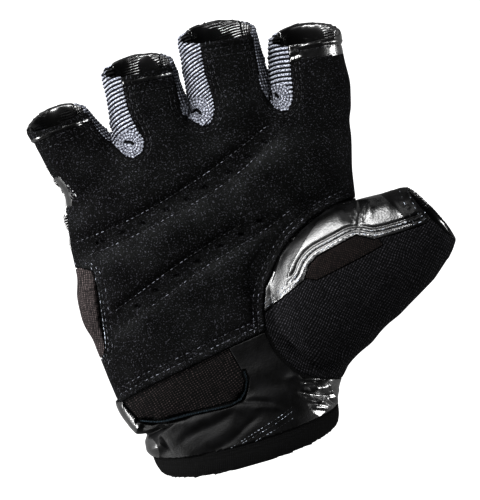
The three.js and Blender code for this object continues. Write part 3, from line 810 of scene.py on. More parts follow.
# %% [markdown]
# ## Folds in the leather and the knit
# Tables of folds, by panel. x and y are in millimetres in plan, width is how far a fold
# reaches to each side, and height is how far it stands up, or sinks if it is negative.

# %% Folds that follow a seam, and others
def row_beside(name, distance, width, height, fade=0.05):
    return {"line": beside(lines[name], distance * MM), "width": width * MM,
            "height": height, "fade": fade, "wraps": False}


def fold(points, width, height, fade=0.25, wraps=False):
    return {"line": smooth_line(points), "width": width * MM, "height": height,
            "fade": fade, "wraps": wraps}


# %% [markdown]
# Gathered leather is crumpled all over. A few waves in chance directions, each bent by
# the next, are added up and folded at zero, which leaves rounded swells and sharp creases.

# %% Crumpled leather
WAVES = 4
WAVE_TURN = 0.45                 # how far a wave may turn from its heading
WAVE_PITCH = (0.8, 1.6)          # over the pitch asked for
WAVE_BEND = 1.2                  # how far each wave is bent by the one before


def crumple(points, centre, reach, pitch, height, seed, across=(0.28, 0.96, 0.5)):
    """Heights within reach of a centre, all in millimetres. Waves run across."""
    draw = np.random.default_rng(seed)
    off = points / MM - np.array(centre)
    weight = bell(np.linalg.norm(off[:, :2], axis=1), reach, 4)
    total, bend = np.zeros(len(points)), np.zeros(len(points))
    for _ in range(WAVES):
        heading = np.array(across) + draw.normal(size=3) * WAVE_TURN
        heading /= np.linalg.norm(heading)
        phase = off @ heading * 2 * math.pi / (pitch * draw.uniform(*WAVE_PITCH))
        bend = np.sin(phase + WAVE_BEND * bend + draw.uniform(0, 2 * math.pi))
        total += bend
    return height * weight * (np.abs(total) / 2 - 0.5) * MM


# %% [markdown]
# ### Palm
# Two flex channels part the three pads, with a row of stitches at each edge. The leather
# dips at every row, so the pads look filled. Near the wrist a doubled edge stands up.

# %% Palm folds
CHANNEL_ROWS = {
    "upper_1": [(-61.7, 15.9), (-45.2, 17.3), (-28.0, 21.2), (-14.3, 25.3), (-1.3, 30.0),
                (13.4, 36.4)],
    "lower_1": [(-57.8, 10.3), (-42.0, 12.0), (-27.8, 15.3), (-13.7, 18.6), (-2.0, 22.5),
                (10.8, 28.8), (22.3, 36.8)],
    "upper_2": [(-54.5, -11.0), (-40.4, -5.6), (-28.6, -1.3), (-18.5, 2.0), (-5.0, 5.5)],
    "lower_2": [(-55.0, -17.0), (-44.6, -13.9), (-32.4, -9.7), (-21.3, -5.2), (-8.9, -1.8),
                (3.0, 1.4), (12.9, 5.5)],
}
SEWN_ROWS = {      # by seam: distances of its rows, width and depth of the dip at each
    "web_1": ((1.4, 2.9), 0.6, -0.20), "web_2": ((1.4, 2.9), 0.6, -0.20),
    "web_3": ((1.4, 2.9), 0.6, -0.20), "heel": ((2.1, 4.3), 0.7, -0.28),
    "thumb": ((1.9, 3.6), 0.7, -0.28), "side": ((1.4, 2.9), 0.6, -0.22),
}
PALM_FOLDS = [fold(points, 1.3, -0.60, 0.04) for points in CHANNEL_ROWS.values()]
PALM_FOLDS += [row_beside(name, distance, *dip)
               for name, (distances, *dip) in SEWN_ROWS.items() for distance in distances]
PALM_FOLDS += [row_beside("heel", 0.9, 0.9, 0.35), row_beside("thumb", 0.8, 0.9, 0.35)]
INDEX_CREASES = [
    ([(26.5, 61.2), (30.2, 60.4), (34.4, 60.8)], 0.7, -0.45),
    ([(26.2, 58.4), (30.0, 57.8), (33.5, 58.4)], 0.7, -0.45),
    ([(27.0, 55.6), (30.5, 55.4), (34.0, 54.4)], 0.6, -0.35),
    ([(27.0, 59.8), (30.0, 59.1), (33.0, 59.6)], 0.7, 0.40),
    ([(27.5, 57.0), (30.0, 56.6), (32.5, 57.0)], 0.7, 0.35),
]
PALM_FOLDS += [fold(*crease) for crease in INDEX_CREASES]

# %% [markdown]
# Each channel has a row of small oval vents, about 8 mm apart, punched through so that
# the palm can breathe. They are pressed in, with a rim raised below each. The suede is
# painted dark in each vent as shade, and painted light on the rim as a highlight.

# %% Vents and the nap of the suede
VENTS = [(4.7, 28.0), (-3.0, 24.7), (-12.8, 21.9), (-19.9, 19.5), (-28.0, 18.0),
         (-37.2, 15.8), (-45.0, 14.6), (-52.5, 13.6), (12.0, 31.6),
         (-5.1, 2.3), (-13.0, 0.4), (-22.3, -2.6), (-30.8, -5.2), (-39.2, -8.2),
         (-46.9, -11.9), (2.4, 5.0)]
VENT_TURN = math.radians(-12)
VENT_HALF = (1.25, 0.65)       # mm
VENT_DEPTH, VENT_RISE = 0.9, 0.25
VENT_RIM = (1.1, 0.45)         # mm below the vent, and its width
VENT_TOP = 0.4                 # how far up the leather has to face


def vents(points):
    """1 in the middle of a vent, and 1 on the rim below it."""
    hole, rim = np.zeros(len(points)), np.zeros(len(points))
    turn = np.array(((math.cos(VENT_TURN), math.sin(VENT_TURN)),
                     (-math.sin(VENT_TURN), math.cos(VENT_TURN))))
    for x, y in VENTS:
        along, across = turn @ (points[:, :2] / MM - (x, y)).T
        hole += bell(along, VENT_HALF[0], 4) * bell(across, VENT_HALF[1], 4)
        rim += bell(along, VENT_HALF[0]) * bell(across + VENT_RIM[0], VENT_RIM[1])
    return hole, rim


def vent_height(points, facing):
    hole, rim = vents(points)
    return (VENT_RISE * rim - VENT_DEPTH * hole) * MM * (facing[:, 2] > VENT_TOP)


print(len(VENTS), "vents")


# %% Painted light and shade on the suede
def band(points, line, width):
    return bell(line_distance(points, line)[0], width * MM)


def note_nap_light_and_shade(piece):
    """Painted light on the pads' upper edges and beside two seams, painted shade in the
    channels and the vents, and a painted highlight on each vent's rim.
    """
    points = places(piece)
    rows = {name: smooth_line(row) for name, row in CHANNEL_ROWS.items()}
    light = band(points, rows["lower_1"] + (0.5 * MM, -2.5 * MM), 4.0)
    light += 0.45 * band(points, rows["lower_2"] + (0.5 * MM, -2.0 * MM), 4.0)
    light += 0.35 * band(points, beside(lines["thumb"], 3 * MM), 3.0)
    light += 0.35 * band(points, beside(lines["heel"], 3 * MM), 3.0)
    dark = band(points, rows["upper_1"] + (0, 1.5 * MM), 2.5)
    dark += band(points, rows["upper_2"] + (0, 1.5 * MM), 2.5)
    hole, rim = vents(points)
    note(piece, "nap_light_and_shade", np.clip(0.30 + 0.6 * light - 0.35 * dark + 0.8 * rim, 0, 1)
         * (1 - np.clip(hole, 0, 1)))


print("nap ready")

# %% [markdown]
# ### Finger hems
# The end of each finger is turned in and sewn, so the last few millimetres are double and
# stand up a little. How far a point lies behind the opening is read along its direction.

# %% Hems of the fingers and the thumb
HEM_DEPTH = {"little": 4.8, "ring": 5.3, "middle": 4.4, "index": 4.2, "thumb": 8.5}
HEM_RISE = 0.35
HEM_REACH, HEM_EDGE = 14 * MM, 0.5 * MM     # where it can be, and how wide its edge is
LIP, DIP = (0.6, -0.4), (-0.5, 0.7)         # height over the rise, mm past the edge
RIPPLE = (0.25, 0.7, 1.4)                   # height, mm along the edge and across it
THUMB_STEP = 0.4
THUMB_RIPPLE = (0.4, 0.42, 0.8)
THUMB_HEM_ROWS = (3.4, 6.4)     # mm behind the opening, each gathered by its stitches


def opening(name):
    """The middle of a finger's opening in plan, its heading and the way across."""
    turn = math.radians(OPENING_TURN[name])
    return (np.array(LIMBS[name]["end"][:2]) * MM,
            np.array((math.sin(turn), math.cos(turn))),
            np.array((math.cos(turn), -math.sin(turn))))


def behind_opening(points, name):
    """Distance behind the opening of a finger, and distance across from its middle."""
    middle, heading, side = opening(name)
    off = points[:, :2] - middle
    return -(off @ heading), off @ side


def ripple(across, off, rise, pitch, width, start=0.0):
    return rise * np.sin(across / (pitch * MM) + start) * bell(off, width * MM)


def hem_height(points, sewn=1.0):
    owner = limb_of(points)[0]
    height = np.zeros(len(points))
    for name, hem in HEM_DEPTH.items():
        depth, across = behind_opening(points, name)
        inside = (owner == LIMB_NAMES.index(name)) & (depth < HEM_REACH)
        off = depth - hem * MM
        step = 1 - ramp(off, -HEM_EDGE, HEM_EDGE)
        if name == "thumb":
            step *= THUMB_STEP
            rows = sum(ripple(across, depth - row * MM, *THUMB_RIPPLE, row)
                       for row in THUMB_HEM_ROWS)
        else:
            rows = sum(rise * bell(off - at * MM, HEM_EDGE) for rise, at in (LIP, DIP))
            rows += ripple(across, off, *RIPPLE)
        height[inside] += (HEM_RISE * (step + sewn * rows))[inside]
    return height * MM


# %% [markdown]
# The back is cut longer than the palm side, so each rim slants: low down it stands out
# past the opening in a shallow arc, and the shiny inner face shows. The thumb ends square.

# %% Rims
RIM_REACH = 8 * MM
RIM_OUT, RIM_DIP = 2.6 * MM, 0.7 * MM
RIM_LOW, RIM_HIGH = -8 * MM, 7 * MM     # from the finger's middle: all of it, and none
RIM_ARC = 0.7                           # below 1 the arc is flatter than a half wave
THUMB_TRIM = -1.4 * MM


def shape_rims(node):
    points = places(pieces[node])
    owner = limb_of(points)[0]
    for name in HEM_DEPTH:
        depth, across = behind_opening(points, name)
        share = np.clip(1 - depth / RIM_REACH, 0, 1.1) ** 2
        share *= owner == LIMB_NAMES.index(name)
        out = THUMB_TRIM
        if name != "thumb":
            half, middle = LIMBS[name]["half"][0] * MM, LIMBS[name]["end"][2] * MM
            share *= np.cos(np.clip(across / half, -1, 1) * math.pi / 2) ** RIM_ARC
            share *= 1 - ramp(points[:, 2], middle + RIM_LOW, middle + RIM_HIGH)
            points[:, 2] -= RIM_DIP * share
            out = RIM_OUT
        points[:, :2] += out * share[:, None] * opening(name)[1]
    put(pieces[node], points)


RIMMED = ("palm_panel", "back_panel", "thumb_leather", "thumb_mesh", "web_little_ring",
          "web_ring_middle", "web_middle_index")
for node in RIMMED:
    shape_rims(node)
print("rims:", ", ".join(RIMMED))

# %% [markdown]
# ### Thumb leather
# The leather over the thumb is creased across where the joint bends. Its lower edge is
# folded under and sewn twice, which leaves a raised strip with a groove beside it.

# %% Thumb folds
STRIP_START = 4     # the rows' first points, which crowd together at the palm's seam


def strip_row(distance, width, height):
    line = beside(lines["strip"], distance * MM, 2)
    return {"line": line[STRIP_START:], "width": width * MM, "height": height,
            "fade": 0.04, "wraps": False}


THUMB_CORNER = np.array([(-5.0, -26.0), (-1.0, -20.0), (3.0, -14.5)]) * MM
THUMB_FOLDS = [strip_row(3.5, 0.45, -0.60), strip_row(1.6, 0.28, -0.22),
               strip_row(2.5, 0.6, 0.10), strip_row(0.7, 0.6, 0.10)]
THUMB_FOLDS.append(fold([(3.0, -17.0), (5.8, -12.7), (14.9, -5.2), (24.6, -1.6),
                         (33.0, -0.6)], 4.6, 1.3, 0.12))
THUMB_FOLDS.append(fold([(37.0, -0.6), (43.0, -1.2), (50.0, -1.4)], 4.0, 0.9, 0.3))
THUMB_FOLDS += [fold(*crease) for crease in (
    ([(38.0, 3.4), (37.0, -1.0), (35.4, -4.0), (34.2, -7.0)], 0.6, -0.60),
    ([(39.4, 0.4), (38.3, -2.6), (36.6, -5.4)], 0.5, -0.25),
    ([(35.2, 0.0), (34.4, -2.6), (33.0, -5.2)], 0.5, -0.20),
    ([(33.4, 1.0), (32.5, -3.0), (31.0, -5.8)], 1.2, 0.22),
    ([(41.0, 1.2), (40.6, -2.5), (39.0, -5.4)], 1.2, 0.22),
)]

# %% [markdown]
# ### Wear of the thumb
# The swell of the leather, 1 to 7 mm from the strip, is rubbed a little matt and shines
# broadly. Towards the palm's seam and the thumb's end the hard glaze is still whole.

# %% Wear
WEAR_FROM, WEAR_FULL, WEAR_TO, WEAR_GONE = 0.6, 2.0, 6.5, 10.5     # mm from the strip
WEAR_END = (47.0, 53.5)                                            # x in mm
WEAR_LEAST = 0.5


def note_wear(piece):
    points = places(piece)
    off = line_distance(points, lines["strip"])[0] / MM
    wear = WEAR_LEAST + (1 - WEAR_LEAST) * ramp(off, WEAR_FROM, WEAR_FULL)
    wear *= (1 - ramp(off, WEAR_TO, WEAR_GONE)) * (1 - ramp(points[:, 0] / MM, *WEAR_END))
    note(piece, "wear", wear)


print("wear ready")


# %% [markdown]
# ### Cuff
# Elastic draws the cuff in at both edges, so the leather bulges there in folds that run
# into the palm side as long soft drags.

# %% Cuff folds
CUFF_FOLDS = [
    fold([(-66.0, -42.0), (-62.5, -46.0), (-60.5, -50.0), (-57.0, -54.0)], 3.0, 1.5,
         0.1, True),
    fold([(-64.0, -57.4), (-57.0, -57.2), (-51.0, -55.4), (-46.0, -53.0)], 1.1, -2.2,
         0.1, True),
    fold([(-62.0, -62.5), (-56.5, -62.0), (-51.0, -60.0)], 2.4, 1.3, 0.1, True),
    fold([(-49.5, -67.0), (-42.0, -66.0), (-31.0, -63.0), (-22.0, -58.5)], 2.0, 0.40),
    fold([(-50.0, -63.5), (-41.2, -59.8), (-31.0, -58.6), (-22.0, -55.5)], 1.4, -0.45),
    fold([(-48.0, -60.0), (-40.0, -56.6), (-30.0, -56.0)], 1.6, 0.30),
    fold([(-41.5, -68.4), (-29.5, -66.7), (-21.0, -62.0), (-14.0, -59.0)], 1.2, -0.40),
    fold([(-22.0, -54.0), (-16.0, -54.9), (-9.5, -57.6)], 0.9, -0.45),
    fold([(-20.0, -57.0), (-13.0, -58.2), (-7.0, -60.5)], 0.9, 0.35),
    fold([(-6.0, -51.0), (2.0, -50.2), (8.0, -52.0), (13.0, -51.5)], 1.6, 1.0),
    fold([(0.0, -53.5), (6.0, -54.8), (12.0, -54.2)], 0.7, -0.8),
    fold([(3.0, -56.0), (8.0, -57.5), (13.0, -56.5)], 1.1, 0.7),
    fold([(-2.0, -55.5), (3.0, -58.5), (8.0, -60.5), (13.0, -60.8)], 0.7, -0.8),
    fold([(4.0, -60.5), (7.0, -62.8), (9.0, -65.5)], 0.9, 0.8),
    fold([(9.5, -59.0), (11.0, -62.0), (11.5, -65.5)], 0.8, 0.7),
    fold([(6.5, -58.5), (8.5, -61.5), (10.0, -65.0)], 0.5, -0.5),
    fold([(0.5, -59.5), (4.0, -61.4), (7.5, -62.0)], 0.6, 0.6),
    fold([(1.5, -62.6), (5.0, -63.6), (8.0, -65.6)], 0.6, 0.6),
]

# %% [markdown]
# ### Back leather
# Along the left edge the back's leather is a little too long for the suede and stands out
# past it in small shiny puckers.

# %% Puckers at the left edge
EDGE_PUCKERS = [(43.0, 2.2, 0.5), (38.6, 1.8, 0.9), (34.6, 1.6, 0.6),
                (25.0, 4.4, 1.5), (16.0, 3.0, 0.5)]      # y, half length, rise in mm
EDGE_LEFT = (0.2, 0.7)                   # how far left the leather has to face
EDGE_BESIDE = -40 * MM                   # left of this x
EDGE_OVER = (6 * MM, 13 * MM)            # above this height


def edge_puckers(points, facing):
    left = ramp(-facing[:, 0], *EDGE_LEFT) * (points[:, 0] < EDGE_BESIDE)
    height = sum(rise * bell(points[:, 1] / MM - y, length)
                 for y, length, rise in EDGE_PUCKERS)
    return height * left * ramp(points[:, 2], *EDGE_OVER) * MM


# %% [markdown]
# ### Mesh
# The mesh is gathered a little along its outer edge. The inner corner where the thumb
# leaves the palm is drawn smooth, because knit stretches there instead of creasing.

# %% Mesh
MESH_FOLDS = [
    fold([(42.0, -42.0), (37.0, -36.0), (31.0, -30.0)], 4.5, 0.5, 0.1, True),
    fold([(31.0, -51.0), (27.0, -44.0), (22.0, -38.0)], 4.0, 0.5, 0.1, True),
    fold([(20.0, -58.0), (17.0, -52.0), (13.0, -46.0)], 3.6, 0.4, 0.1, True),
]
CORNER = np.array([(-6.0, -37.0), (-3.0, -43.0), (2.0, -50.0)]) * MM
CORNER_REACH, CORNER_PASSES = 6 * MM, 80


def calm(node, line, reach, passes):
    """Smooths a panel near a line, fully up to half the reach."""
    piece = pieces[node]
    gap, _ = line_distance(places(piece), line)
    group = piece.vertex_groups.new(name="calm")
    for index in np.flatnonzero(gap < reach):
        group.add([int(index)], float(1 - ramp(gap[index], 0.5 * reach, reach)), "REPLACE")
    smooth(piece, passes, vertex_group="calm")


calm("thumb_mesh", CORNER, CORNER_REACH, CORNER_PASSES)
print("mesh corner smoothed")

# %% [markdown]
# ### Ribs between the fingers
# Each rib stands half a millimetre over the valleys beside it, and they repeat every
# 1.5 mm. They lie across the strip, tilted a little, and give way to rings of loops in the
# rounded foot, where the knit is drawn together into a small pucker. The narrow part of a
# strip, on the other finger, has finer rows.

# %% Ribs
RIB_PITCH, RIB_RISE = 1.50, 0.50     # mm
RIB_TOP = 0.9             # below 1 the tops are broad and the valleys narrow
FINE_PITCH = 0.75         # of the narrow part, over that of the ribs
FINE_LOOPS = (0.40, 0.55)      # height of the narrow part's valleys, and rise of its loops
CURL_REACH = 2.4 * MM     # the ribs sweep down within this far of the finger's side
RING, RAYS = 1.05 * MM, 11     # the foot's rings of loops
RING_LOOPS, RING_TOP = (0.45, 0.5), 0.6
IN_FOOT = (4.0 * MM, 6.5 * MM)
FOOT_OVER = (14 * MM, 19 * MM)
PUCKER_WIDTH, PUCKER_DEPTH, PUCKER_SHADE = 0.35 * MM, 0.9, 0.95
DULL_NARROW, DULL_FOOT = 0.2, 0.1     # how much duller the yarn is there
WEB_FEET = {
    "web_little_ring": {"wide": "ring", "narrow": "little", "slope": 0.02, "more": 0.010,
                        "curl": 2.6, "foot": (-34.3, 44.0),
                        "pucker": [(-35.6, 45.2), (-34.2, 44.9), (-33.0, 43.8)]},
    "web_ring_middle": {"wide": "middle", "narrow": "ring", "slope": 0.18, "more": 0.020,
                        "curl": 3.2, "foot": (-8.2, 48.6),
                        "pucker": [(-9.8, 49.0), (-8.2, 49.4), (-7.2, 47.6)]},
    "web_middle_index": {"wide": "index", "narrow": "middle", "slope": -0.08,
                         "more": -0.006, "curl": 1.2, "foot": (20.6, 45.4),
                         "pucker": [(20.2, 46.8), (20.5, 46.2), (20.7, 45.6)]},
}


def ribs_on(points, name, slope, more, curl, pitch):
    """Heights of the ribs, 0 to 1. Slope and more tilt them, and curl sweeps them down."""
    depth, across = behind_opening(points, name)
    across = across + LIMBS[name]["half"][0] * MM
    phase = depth + across * (slope + more * depth / MM)
    phase = phase + curl * MM * (1 - np.exp(-np.maximum(across, 0) / CURL_REACH))
    return np.abs(np.sin(math.pi * phase / (pitch * MM))) ** RIB_TOP


def shape_web(node):
    row, piece = WEB_FEET[node], pieces[node]
    points, facing = places(piece), normals(piece)
    strip = limb_of(points)[0] == LIMB_NAMES.index(row["narrow"])
    off = points[:, :2] - np.array(row["foot"]) * MM
    away = np.linalg.norm(off, axis=1)
    in_foot = (1 - ramp(away, *IN_FOOT)) * ramp(points[:, 2], *FOOT_OVER)
    wave = ribs_on(points, row["wide"], row["slope"], row["more"], row["curl"], RIB_PITCH)
    fine = ribs_on(points, row["narrow"], 0.0, 0.0, 0.0, RIB_PITCH * FINE_PITCH)
    fine *= np.abs(np.sin(math.pi * points[:, 2] / RING))
    wave = np.where(strip, FINE_LOOPS[0] + FINE_LOOPS[1] * fine, wave)
    loops = np.sin(RAYS * np.arctan2(off[:, 1], off[:, 0])) * np.sin(math.pi * away / RING)
    loops = RING_LOOPS[0] + RING_LOOPS[1] * np.abs(loops) ** RING_TOP
    height = wave * (1 - in_foot) + loops * in_foot
    gap, _ = line_distance(points, smooth_line(row["pucker"]))
    pucker = bell(gap, PUCKER_WIDTH) * (facing[:, 2] > 0)
    rise = (RIB_RISE * (height - 0.5) - PUCKER_DEPTH * pucker) * MM
    put(piece, points + facing * rise[:, None])
    # Painted shade: along the pucker's crease the number that sets the colour is darkened.
    note(piece, "rib", np.clip(height, 0, 1) * (1 - PUCKER_SHADE * pucker))
    note(piece, "strip", strip * DULL_NARROW + in_foot * DULL_FOOT)


# %% Shaping every panel
PIPING_THINNER = 0.45 * MM
THUMB_CALM = 8                             # passes
HEM_CALM, HEM_PASSES = 20 * MM, 4
EDGE_CRUMPLE = (-54.0, 34.0, 25.0)         # where the suede's left edge is turned over
SIDE_BULGE, SIDE_AT, SIDE_HALF = 1.7 * MM, -8, 9      # rise, y and half length in mm


def palm_more(points, facing):
    return (hem_height(points) + vent_height(points, facing)
            + crumple(points, (29.5, 58.5, 30), 5.5, 3.0, 0.25, 8)
            + crumple(points, EDGE_CRUMPLE, 5.0, 2.6, 0.45, 9, (0.2, 0.9, 0.4)))


def back_more(points, facing):
    return hem_height(points, 0.2) + edge_puckers(points, facing)


def thumb_more(points, facing):
    return hem_height(points) + crumple(points, (36.0, -3.4, 45), 3.2, 2.4, 0.22, 3,
                                        (0.96, 0.28, 0.0))


def mesh_more(points, facing):
    return hem_height(points, 0.4)


def cuff_more(points, facing):
    return (crumple(points, (9.5, -58.0, 32), 6.5, 4.2, 0.22, 5, (0.7, 0.6, 0.2))
            + crumple(points, (-59.0, -52.0, 30), 8.0, 7.0, 0.10, 6))


def side_more(points, facing):
    bulge = SIDE_BULGE * bell(points[:, 1] / MM - SIDE_AT, SIDE_HALF, 4)
    return bulge * ramp(-facing[:, 0], 0.2, 0.8)


SHAPES = {      # by panel: its folds, and what else moves it
    "palm_panel": (PALM_FOLDS, palm_more),
    "back_panel": ([], back_more),
    "thumb_leather": (THUMB_FOLDS, thumb_more),
    "thumb_mesh": (MESH_FOLDS, mesh_more),
    "cuff_leather": (CUFF_FOLDS, cuff_more),
    "side_knit": ([], side_more),
    "wrist_insert": ([row_beside("heel", -1.6, 1.4, -0.55)], None),
    "cuff_hem": ([row_beside("cuff", -1.3, 0.45, -0.35, 0.01),
                  row_beside("cuff", -2.6, 0.45, -0.30, 0.01)], None),
}
note_nap_light_and_shade(pieces["palm_panel"])
note_wear(pieces["thumb_leather"])
for node, (folds, more) in SHAPES.items():
    move_out(pieces[node], folds, more)
calm("thumb_leather", THUMB_CORNER, CORNER_REACH, THUMB_CALM)
calm("cuff_hem", lines["cuff"], HEM_CALM, HEM_PASSES)
points, facing = places(pieces["wrist_piping"]), normals(pieces["wrist_piping"])
put(pieces["wrist_piping"], points - facing * PIPING_THINNER)
for node in WEB_FEET:
    shape_web(node)
for piece in pieces.values():
    points = places(piece)
    points[:, 2] = np.maximum(points[:, 2], 0)      # nothing sinks into the table
    put(piece, points)
print("shaped:", ", ".join(SHAPES), ", ".join(WEB_FEET))

# %% [markdown]
# ## Stitches
# One stitch is a short thread that dips in at both ends: a small ball stretched along,
# with its ends pushed down. It is modelled once, and copied along every row with a gap
# between stitches, each copy pressed onto the surface under it.

# %% One stitch
STITCH_LENGTH = 1.9 * MM
STITCH_SECTION = (0.26, 0.22)      # width and height over the length
STITCH_DIP = 0.25                  # how far its ends are pushed down
STITCH_LIFT = 0.06 * MM
STITCH_TURN = (-0.10, 0.10)
STITCH_STRETCH = (0.85, 1.1)
bpy.ops.object.select_all(action="DESELECT")
bpy.ops.mesh.primitive_uv_sphere_add(segments=6, ring_count=5, radius=0.5)
stitch = bpy.context.view_layer.objects.active
stitch.name = "one_stitch"
bpy.ops.object.mode_set(mode="EDIT")
bpy.ops.mesh.select_all(action="SELECT")
bpy.ops.transform.rotate(value=math.radians(90), orient_axis="Y",
                         center_override=(0, 0, 0))
bpy.ops.transform.resize(value=(1.0, *STITCH_SECTION), center_override=(0, 0, 0))
bpy.ops.object.mode_set(mode="OBJECT")
for vertex in stitch.data.vertices:
    vertex.co.z -= STITCH_DIP * vertex.co.x ** 2
print("stitch faces:", len(stitch.data.polygons))

# %% [markdown]
# Rows of stitches, each with the panel that it runs on, its distance from the seam or its
# own points, and how far apart the stitches are.

# %% Rows of stitches
ROW_POINTS = 60
SIDE_ROW = 0.4                  # mm beside its seam
STRIP_ROWS = (0.75, 2.3)
THUMB_END_ROWS = ([(52.2, 3.6), (52.4, -3.0), (53.4, -9.4)],
                  [(54.8, 2.8), (55.2, -3.6), (56.4, -9.8)])
CUFF_ROWS = ([(-28.8, -68.2), (-17.3, -64.8), (-9.7, -62.6), (-5.1, -60.7)],
             [(-24.6, -67.8), (-12.8, -65.0), (-5.4, -62.2)],
             [(-21.3, -68.6), (-12.6, -66.6), (-5.8, -64.6)])
HEM_ROWS = (1.0, 3.8)           # mm behind the hem's edge
ROWS = []


def add_row(group, line, pitch, size):
    ROWS.append({"group": group, "line": line, "pitch": pitch, "size": size})


for name, (distances, *_) in SEWN_ROWS.items():
    for distance in distances:
        group = "hems" if name in WEB_OF_LINE else "palm"
        add_row(group, beside(lines[name], distance * MM), 2.0, 0.72)
for points in CHANNEL_ROWS.values():
    add_row("palm", smooth_line(points, ROW_POINTS), 1.9, 0.72)
add_row("side", beside(lines["side"], SIDE_ROW * MM), 1.5, 0.80)
for distance in STRIP_ROWS:
    add_row("thumb", beside(lines["strip"], distance * MM, 2), 1.9, 0.75)
for points in THUMB_END_ROWS:
    add_row("thumb", smooth_line(points, ROW_POINTS), 1.7, 0.75)
for points in CUFF_ROWS:
    add_row("cuff", smooth_line(points, ROW_POINTS), 1.25, 0.50)
for name in ("little", "ring", "middle", "index"):
    middle, heading, side = opening(name)
    half = (LIMBS[name]["half"][0] - 1) * MM
    for past in HEM_ROWS:
        back = middle - heading * (HEM_DEPTH[name] + past) * MM
        add_row("hems", np.array([back - side * half, back + side * half]), 1.7, 0.66)
print(len(ROWS), "rows of stitches")

# %% Laying the stitches down
GROUPS = {      # by group: panel, slot and finish
    "palm": ("palm_panel", "suede", "thread_dark"),
    "hems": ("palm_panel", "suede", "thread_black"),
    "side": ("palm_panel", "suede", "thread_light"),
    "thumb": ("thumb_leather", "smooth_leather", "thread_light"),
    "cuff": ("cuff_leather", "smooth_leather", "thread_light"),
}
LAID_ON = 0.25      # how far up the panel has to face


def lay_row(row, tree, shake):
    line = evened(np.array(row["line"], float), step=row["pitch"] * MM, passes=0)
    made = []
    for (x, y), (dx, dy) in zip(line, np.gradient(line, axis=0)):
        found, normal, _, _ = under(tree, x, y)
        if found is None or normal.z < LAID_ON:
            continue
        along = Vector((dx, dy, 0)).normalized()
        along = (along - normal * along.dot(normal)).normalized()
        side = normal.cross(along)
        along = (along + side * shake.uniform(*STITCH_TURN)).normalized()
        side = normal.cross(along)
        turn = Matrix((along, side, normal)).transposed().to_4x4()
        size = row["size"] * STITCH_LENGTH
        size = Matrix.Diagonal((size * shake.uniform(*STITCH_STRETCH), size, size, 1))
        made.append(Matrix.Translation(found + normal * STITCH_LIFT) @ turn @ size)
    return made


shake = np.random.default_rng(7)
threads = {}
for group, (panel, _, _) in GROUPS.items():
    tree, name = tree_of(pieces[panel]), "stitches_" + group
    spots = [spot for row in ROWS if row["group"] == group
             for spot in lay_row(row, tree, shake)]
    copies = []
    for spot in spots:
        copy = bpy.data.objects.new(name, stitch.data.copy())
        copy.matrix_world = spot
        bpy.context.scene.collection.objects.link(copy)
        copies.append(copy)
    choose(*copies)
    bpy.ops.object.join()
    threads[group] = bpy.context.view_layer.objects.active
    threads[group].name = name
    bpy.ops.object.transform_apply(location=True, rotation=True, scale=True)
    print(name, len(spots), "stitches")
bpy.data.objects.remove(stitch)

# %% [markdown]
# ## Finishes on the pieces
# Every panel gets its finish, and its inner surface gets the smooth lining, which shows
# in the openings of the fingers and the wrist. Three panels have a third finish in places:
# leather along edges of the suede, plain leather at the thumb's end, and a higher gloss
# where the cuff's leather is stretched over folds.

# %% Finishes by face
INNER = -0.3                  # facing inwards more than this, a face is lining
INDEX_LEATHER = 8.5 * MM      # the end of the index finger is faced with leather
HEM_LEATHER = (-0.9, 0.3)     # mm from the edge of the little and ring fingers' hems
THUMB_HEMMED = 10 * MM        # the thumb's end is left unglazed for sewing
TURNED_EDGE = {"y": (29 * MM, 40 * MM), "x": -45 * MM, "facing": -0.72}
POLISHED = ((-64.0, -48.0, 8.0, -0.6), (-61.0, -62.0, 7.0, -0.45),
            (11.0, -59.0, 10.5, 1.0))      # x, y, reach in mm, most that it faces right


def palm_leather(centres, facing):
    owner = limb_of(centres)[0]
    faced = behind_opening(centres, "index")[0] < INDEX_LEATHER
    faced &= owner == LIMB_NAMES.index("index")
    for name in ("little", "ring"):
        depth = behind_opening(centres, name)[0] / MM - HEM_DEPTH[name]
        at_edge = (depth > HEM_LEATHER[0]) & (depth < HEM_LEATHER[1])
        faced |= at_edge & (owner == LIMB_NAMES.index(name))
    turned = (centres[:, 0] < TURNED_EDGE["x"]) & (facing[:, 0] < TURNED_EDGE["facing"])
    low, high = TURNED_EDGE["y"]
    return faced | (turned & (centres[:, 1] > low) & (centres[:, 1] < high))


def thumb_hem(centres, facing):
    return behind_opening(centres, "thumb")[0] < THUMB_HEMMED


def cuff_polish(centres, facing):
    polished = np.zeros(len(centres), bool)
    for x, y, reach, most in POLISHED:
        off = np.linalg.norm(centres[:, :2] / MM - (x, y), axis=1)
        polished |= (off < reach) & (facing[:, 0] <= most)
    return polished


print("finishes by face ready")

# %% Finishes and bodies
LINED = ("palm_panel", "back_panel", "thumb_leather", "thumb_mesh", "cuff_leather",
         "web_little_ring", "web_ring_middle", "web_middle_index")
THIRD = {"palm_panel": ("leather", palm_leather), "cuff_leather": ("leather", cuff_polish),
         "thumb_leather": ("cuff_leather", thumb_hem)}


def dress(piece, slot, *finishes):
    for finish in finishes:
        piece.data.materials.append(FINISHES[finish])
    choose(piece)
    bpy.ops.object.shade_smooth()
    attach(piece, "root")


def line_inside(piece, finish=None, where=None):
    """Gives faces inside the glove the second finish, and others where asked the third."""
    centres, facing = (read(piece.data.polygons, key) for key in ("center", "normal"))
    inner = np.einsum("ij,ij->i", limb_of(centres)[1], facing) < INNER
    chosen = inner.astype(np.int32)
    piece.data.materials.append(FINISHES["lining"])
    if where:
        piece.data.materials.append(FINISHES[finish])
        chosen[where(centres, facing) & ~inner] = 2
    piece.data.polygons.foreach_set("material_index", chosen)


for node, (_, _, finish, slot) in PANELS.items():
    dress(pieces[node], slot, finish)
    if node in LINED:
        line_inside(pieces[node], *THIRD.get(node, ()))
    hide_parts(node)
for group, (_, slot, finish) in GROUPS.items():
    dress(threads[group], slot, finish)
dress(allowances, "binding_knit", "binding")
print(len(pieces) + len(threads) + 1, "pieces")

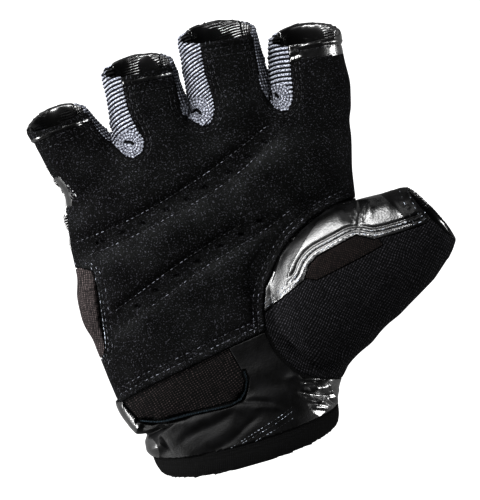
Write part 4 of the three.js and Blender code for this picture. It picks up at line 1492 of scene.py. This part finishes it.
# %% [markdown]
# ## Table and light
# A plain white table fills the picture. Soft lamps stand around it and none is overhead,
# so that flat black leather stays black and only its slopes shine. The table glows for the
# camera and only dimly for the leather, as if dark cards kept its white away from it.

# %% Table
TABLE_SIZE = 6
TABLE_SEEN, TABLE_LIT = 1.2, 0.35     # its glow in the picture, and on the leather
bpy.ops.object.select_all(action="DESELECT")
bpy.ops.mesh.primitive_plane_add(size=TABLE_SIZE, location=(0, 0, 0))
table = bpy.context.view_layer.objects.active
table.name = "table"
table_finish, table_tree, table_surface, _ = start(
    "table_white", Roughness=0.7, Specular_IOR_Level=0.2,
    Base_Color=linear("#303030"), Emission_Color=linear("#ffffff"))
seen = add(table_tree, "LightPath").outputs["Is Camera Ray"]
glow = mapped(table_tree, seen, first=TABLE_LIT, last=TABLE_SEEN)
table_tree.links.new(glow, table_surface.inputs["Emission Strength"])
table.data.materials.append(table_finish)

# %% Lamps and surroundings
LAMPS = {
    "key": {"place": (-0.10, 0.83, 1.00), "size": (0.45, 0.3), "power": 24},
    "mid": {"place": (-0.63, 0.81, 0.52), "size": (0.8, 0.4), "power": 30},
    "low": {"place": (-1.04, 0.48, 0.26), "size": (0.9, 0.4), "power": 22},
    "left": {"place": (-1.25, -0.30, 0.24), "size": (0.6, 0.4), "power": 34},
    "right": {"place": (1.25, -0.40, 0.36), "size": (0.6, 0.5), "power": 34},
}
AMBIENT = 0.02
GAMMA = 0.75       # hard contrast, as in the picture
for name, row in LAMPS.items():
    lamp_data = bpy.data.lights.new("lamp_" + name, "AREA")
    lamp_data.shape = "RECTANGLE"
    lamp_data.size, lamp_data.size_y = row["size"]
    lamp_data.energy = row["power"]
    lamp = bpy.data.objects.new("lamp_" + name, lamp_data)
    bpy.context.scene.collection.objects.link(lamp)
    lamp.location = row["place"]
    lamp.rotation_euler = Vector(row["place"]).to_track_quat("Z", "Y").to_euler()
world = bpy.data.worlds.new("studio")
bpy.context.scene.world = world
world.use_nodes = True
background = world.node_tree.nodes["Background"]
background.inputs["Color"].default_value = linear("#ffffff")
background.inputs["Strength"].default_value = AMBIENT
bpy.context.scene.view_settings.view_transform = "Standard"
bpy.context.scene.view_settings.gamma = GAMMA
print("lamps:", ", ".join(LAMPS))
